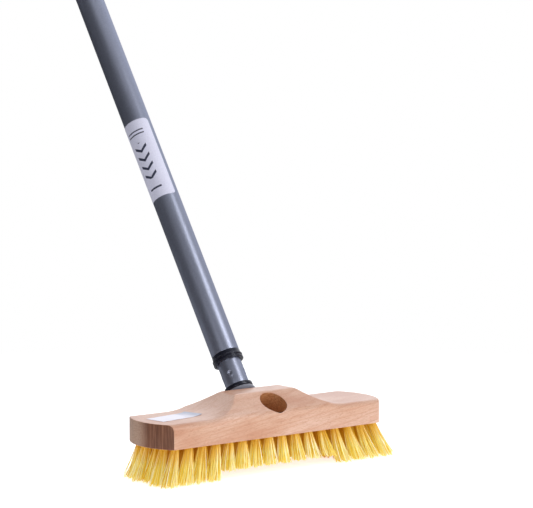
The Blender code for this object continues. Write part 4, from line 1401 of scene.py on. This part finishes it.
def make_floor():
    """A round paper floor at the lowest point of the frame."""
    bm = bmesh.new()
    bmesh.ops.create_circle(bm, cap_ends=True, segments=96, radius=FLOOR_RADIUS)
    floor = new_object("floor", bm)
    floor.data.materials.append(floor_paper())
    floor.location = (0, 0, CAD_BOX[0].z)
    floor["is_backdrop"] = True


def make_world(behind, right):
    """White backdrop to look at. As a source of light it is a white wall behind the brush, in a
    room that is paler on the camera's right and dark on its left."""
    world = bpy.data.worlds.new("studio")
    bpy.context.scene.world = world
    world.use_nodes = True
    tree = world.node_tree
    direction = add_node(tree, "ShaderNodeTexCoord", out="Generated")
    # The wall, then the room: where each lies, the cosines between which its light grows, and its
    # least and greatest strength
    glows = []
    for toward, low, high, least, most in ((behind, 0.62, 0.98, 0.0, 1.75), (right, -0.4, 0.7, 0.06, 0.5)):
        facing = add_node(tree, VECTOR, direction, toward.normalized(), operation="DOT_PRODUCT")
        glows.append(add_node(tree, RANGE, facing, low, high, least, most))
    glow = add_node(tree, MATH, *glows, operation="ADD")
    seen = add_node(tree, "ShaderNodeBackground", Color=linear("FFFFFF"), Strength=1.0)
    lit = add_node(tree, "ShaderNodeBackground", Color=linear("F7F9FF"), Strength=glow)
    to_camera = add_node(tree, "ShaderNodeLightPath", out="Is Camera Ray")
    mixed = add_node(tree, "ShaderNodeMixShader", to_camera, lit, seen)
    fill_inputs(tree.nodes["World Output"], Surface=mixed)


class SCRUB_OT_stage(bpy.types.Operator):
    """Set the pale floor, the softboxes and the camera"""

    bl_idname = "scrub.stage"
    bl_label = "Stage"

    def execute(self, context):
        stage = context.scene.scrub_stage
        make_floor()
        level = Vector((math.sin(stage.yaw), math.cos(stage.yaw), 0))
        forward = level * math.cos(stage.pitch) - Vector((0, 0, math.sin(stage.pitch)))
        right = Vector((math.cos(stage.yaw), -math.sin(stage.yaw), 0))
        up = right.cross(forward)
        middle = Vector((0, 0, BACK_LOW.z))
        target = middle + right * stage.aim_right + up * stage.aim_up
        data = bpy.data.cameras.new("camera")
        data.lens = stage.lens
        data.sensor_width = 36
        data.clip_start = 0.05
        data.clip_end = 50
        camera = link_object("camera", data)
        camera.location = target - forward * stage.distance
        camera.rotation_euler = Matrix((right, up, -forward)).transposed().to_euler()
        context.scene.camera = camera
        # The wall is brightest behind the brush and about 39 degrees up
        wall = level + right * 0.02 + Vector((0, 0, 0.8))
        make_world(wall, right)
        for name, (across, away, rise), aim, size, power, code in LIGHTS:
            place = middle + right * across + level * away + Vector((0, 0, rise))
            add_softbox(name, place, middle + Vector((0, 0, aim)), size, power, code)
        context.scene.view_settings.view_transform = "Standard"
        return {"FINISHED"}


GROUPS = {
    "scrub_back": BackSettings,
    "scrub_tufts": TuftSettings,
    "scrub_handle": HandleSettings,
    "scrub_label": LabelSettings,
    "scrub_finish": FinishSettings,
    "scrub_stage": StageSettings,
}
OPERATORS = (
    SCRUB_OT_back,
    SCRUB_OT_tufts,
    SCRUB_OT_tubes,
    SCRUB_OT_fittings,
    SCRUB_OT_lock,
    SCRUB_OT_top_end,
    SCRUB_OT_labels,
    SCRUB_OT_stage,
)


class SCRUB_PT_panel(bpy.types.Panel):
    """Scrub brush pieces and their settings"""

    bl_label = "Scrub Brush"
    bl_idname = "SCRUB_PT_panel"
    bl_space_type = "VIEW_3D"
    bl_region_type = "UI"
    bl_category = "Scrub Brush"

    def draw(self, context):
        for operator in OPERATORS:
            self.layout.operator(operator.bl_idname)
        for name, group in GROUPS.items():
            box = self.layout.box()
            for setting in group.__annotations__:
                box.prop(getattr(context.scene, name), setting)


def register():
    """Add the settings to the scene, and the operators and the panel to Blender."""
    for name, group in GROUPS.items():
        bpy.utils.register_class(group)
        setattr(bpy.types.Scene, name, PointerProperty(type=group))
    for operator in OPERATORS:
        bpy.utils.register_class(operator)
    bpy.utils.register_class(SCRUB_PT_panel)


def unregister():
    """Take away what register added, in the opposite order."""
    bpy.utils.unregister_class(SCRUB_PT_panel)
    for operator in reversed(OPERATORS):
        bpy.utils.unregister_class(operator)
    for name, group in reversed(GROUPS.items()):
        delattr(bpy.types.Scene, name)
        bpy.utils.unregister_class(group)


def main():
    """Make every piece and the stage."""
    register()
    for operator in OPERATORS:
        group, name = operator.bl_idname.split(".")
        getattr(getattr(bpy.ops, group), name)()
    boxes = {"cad": CAD_BOX, "visual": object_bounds()}
    {name: [list(low), list(high)] for name, (low, high) in boxes.items()}


if __name__ == "__main__":
    main()
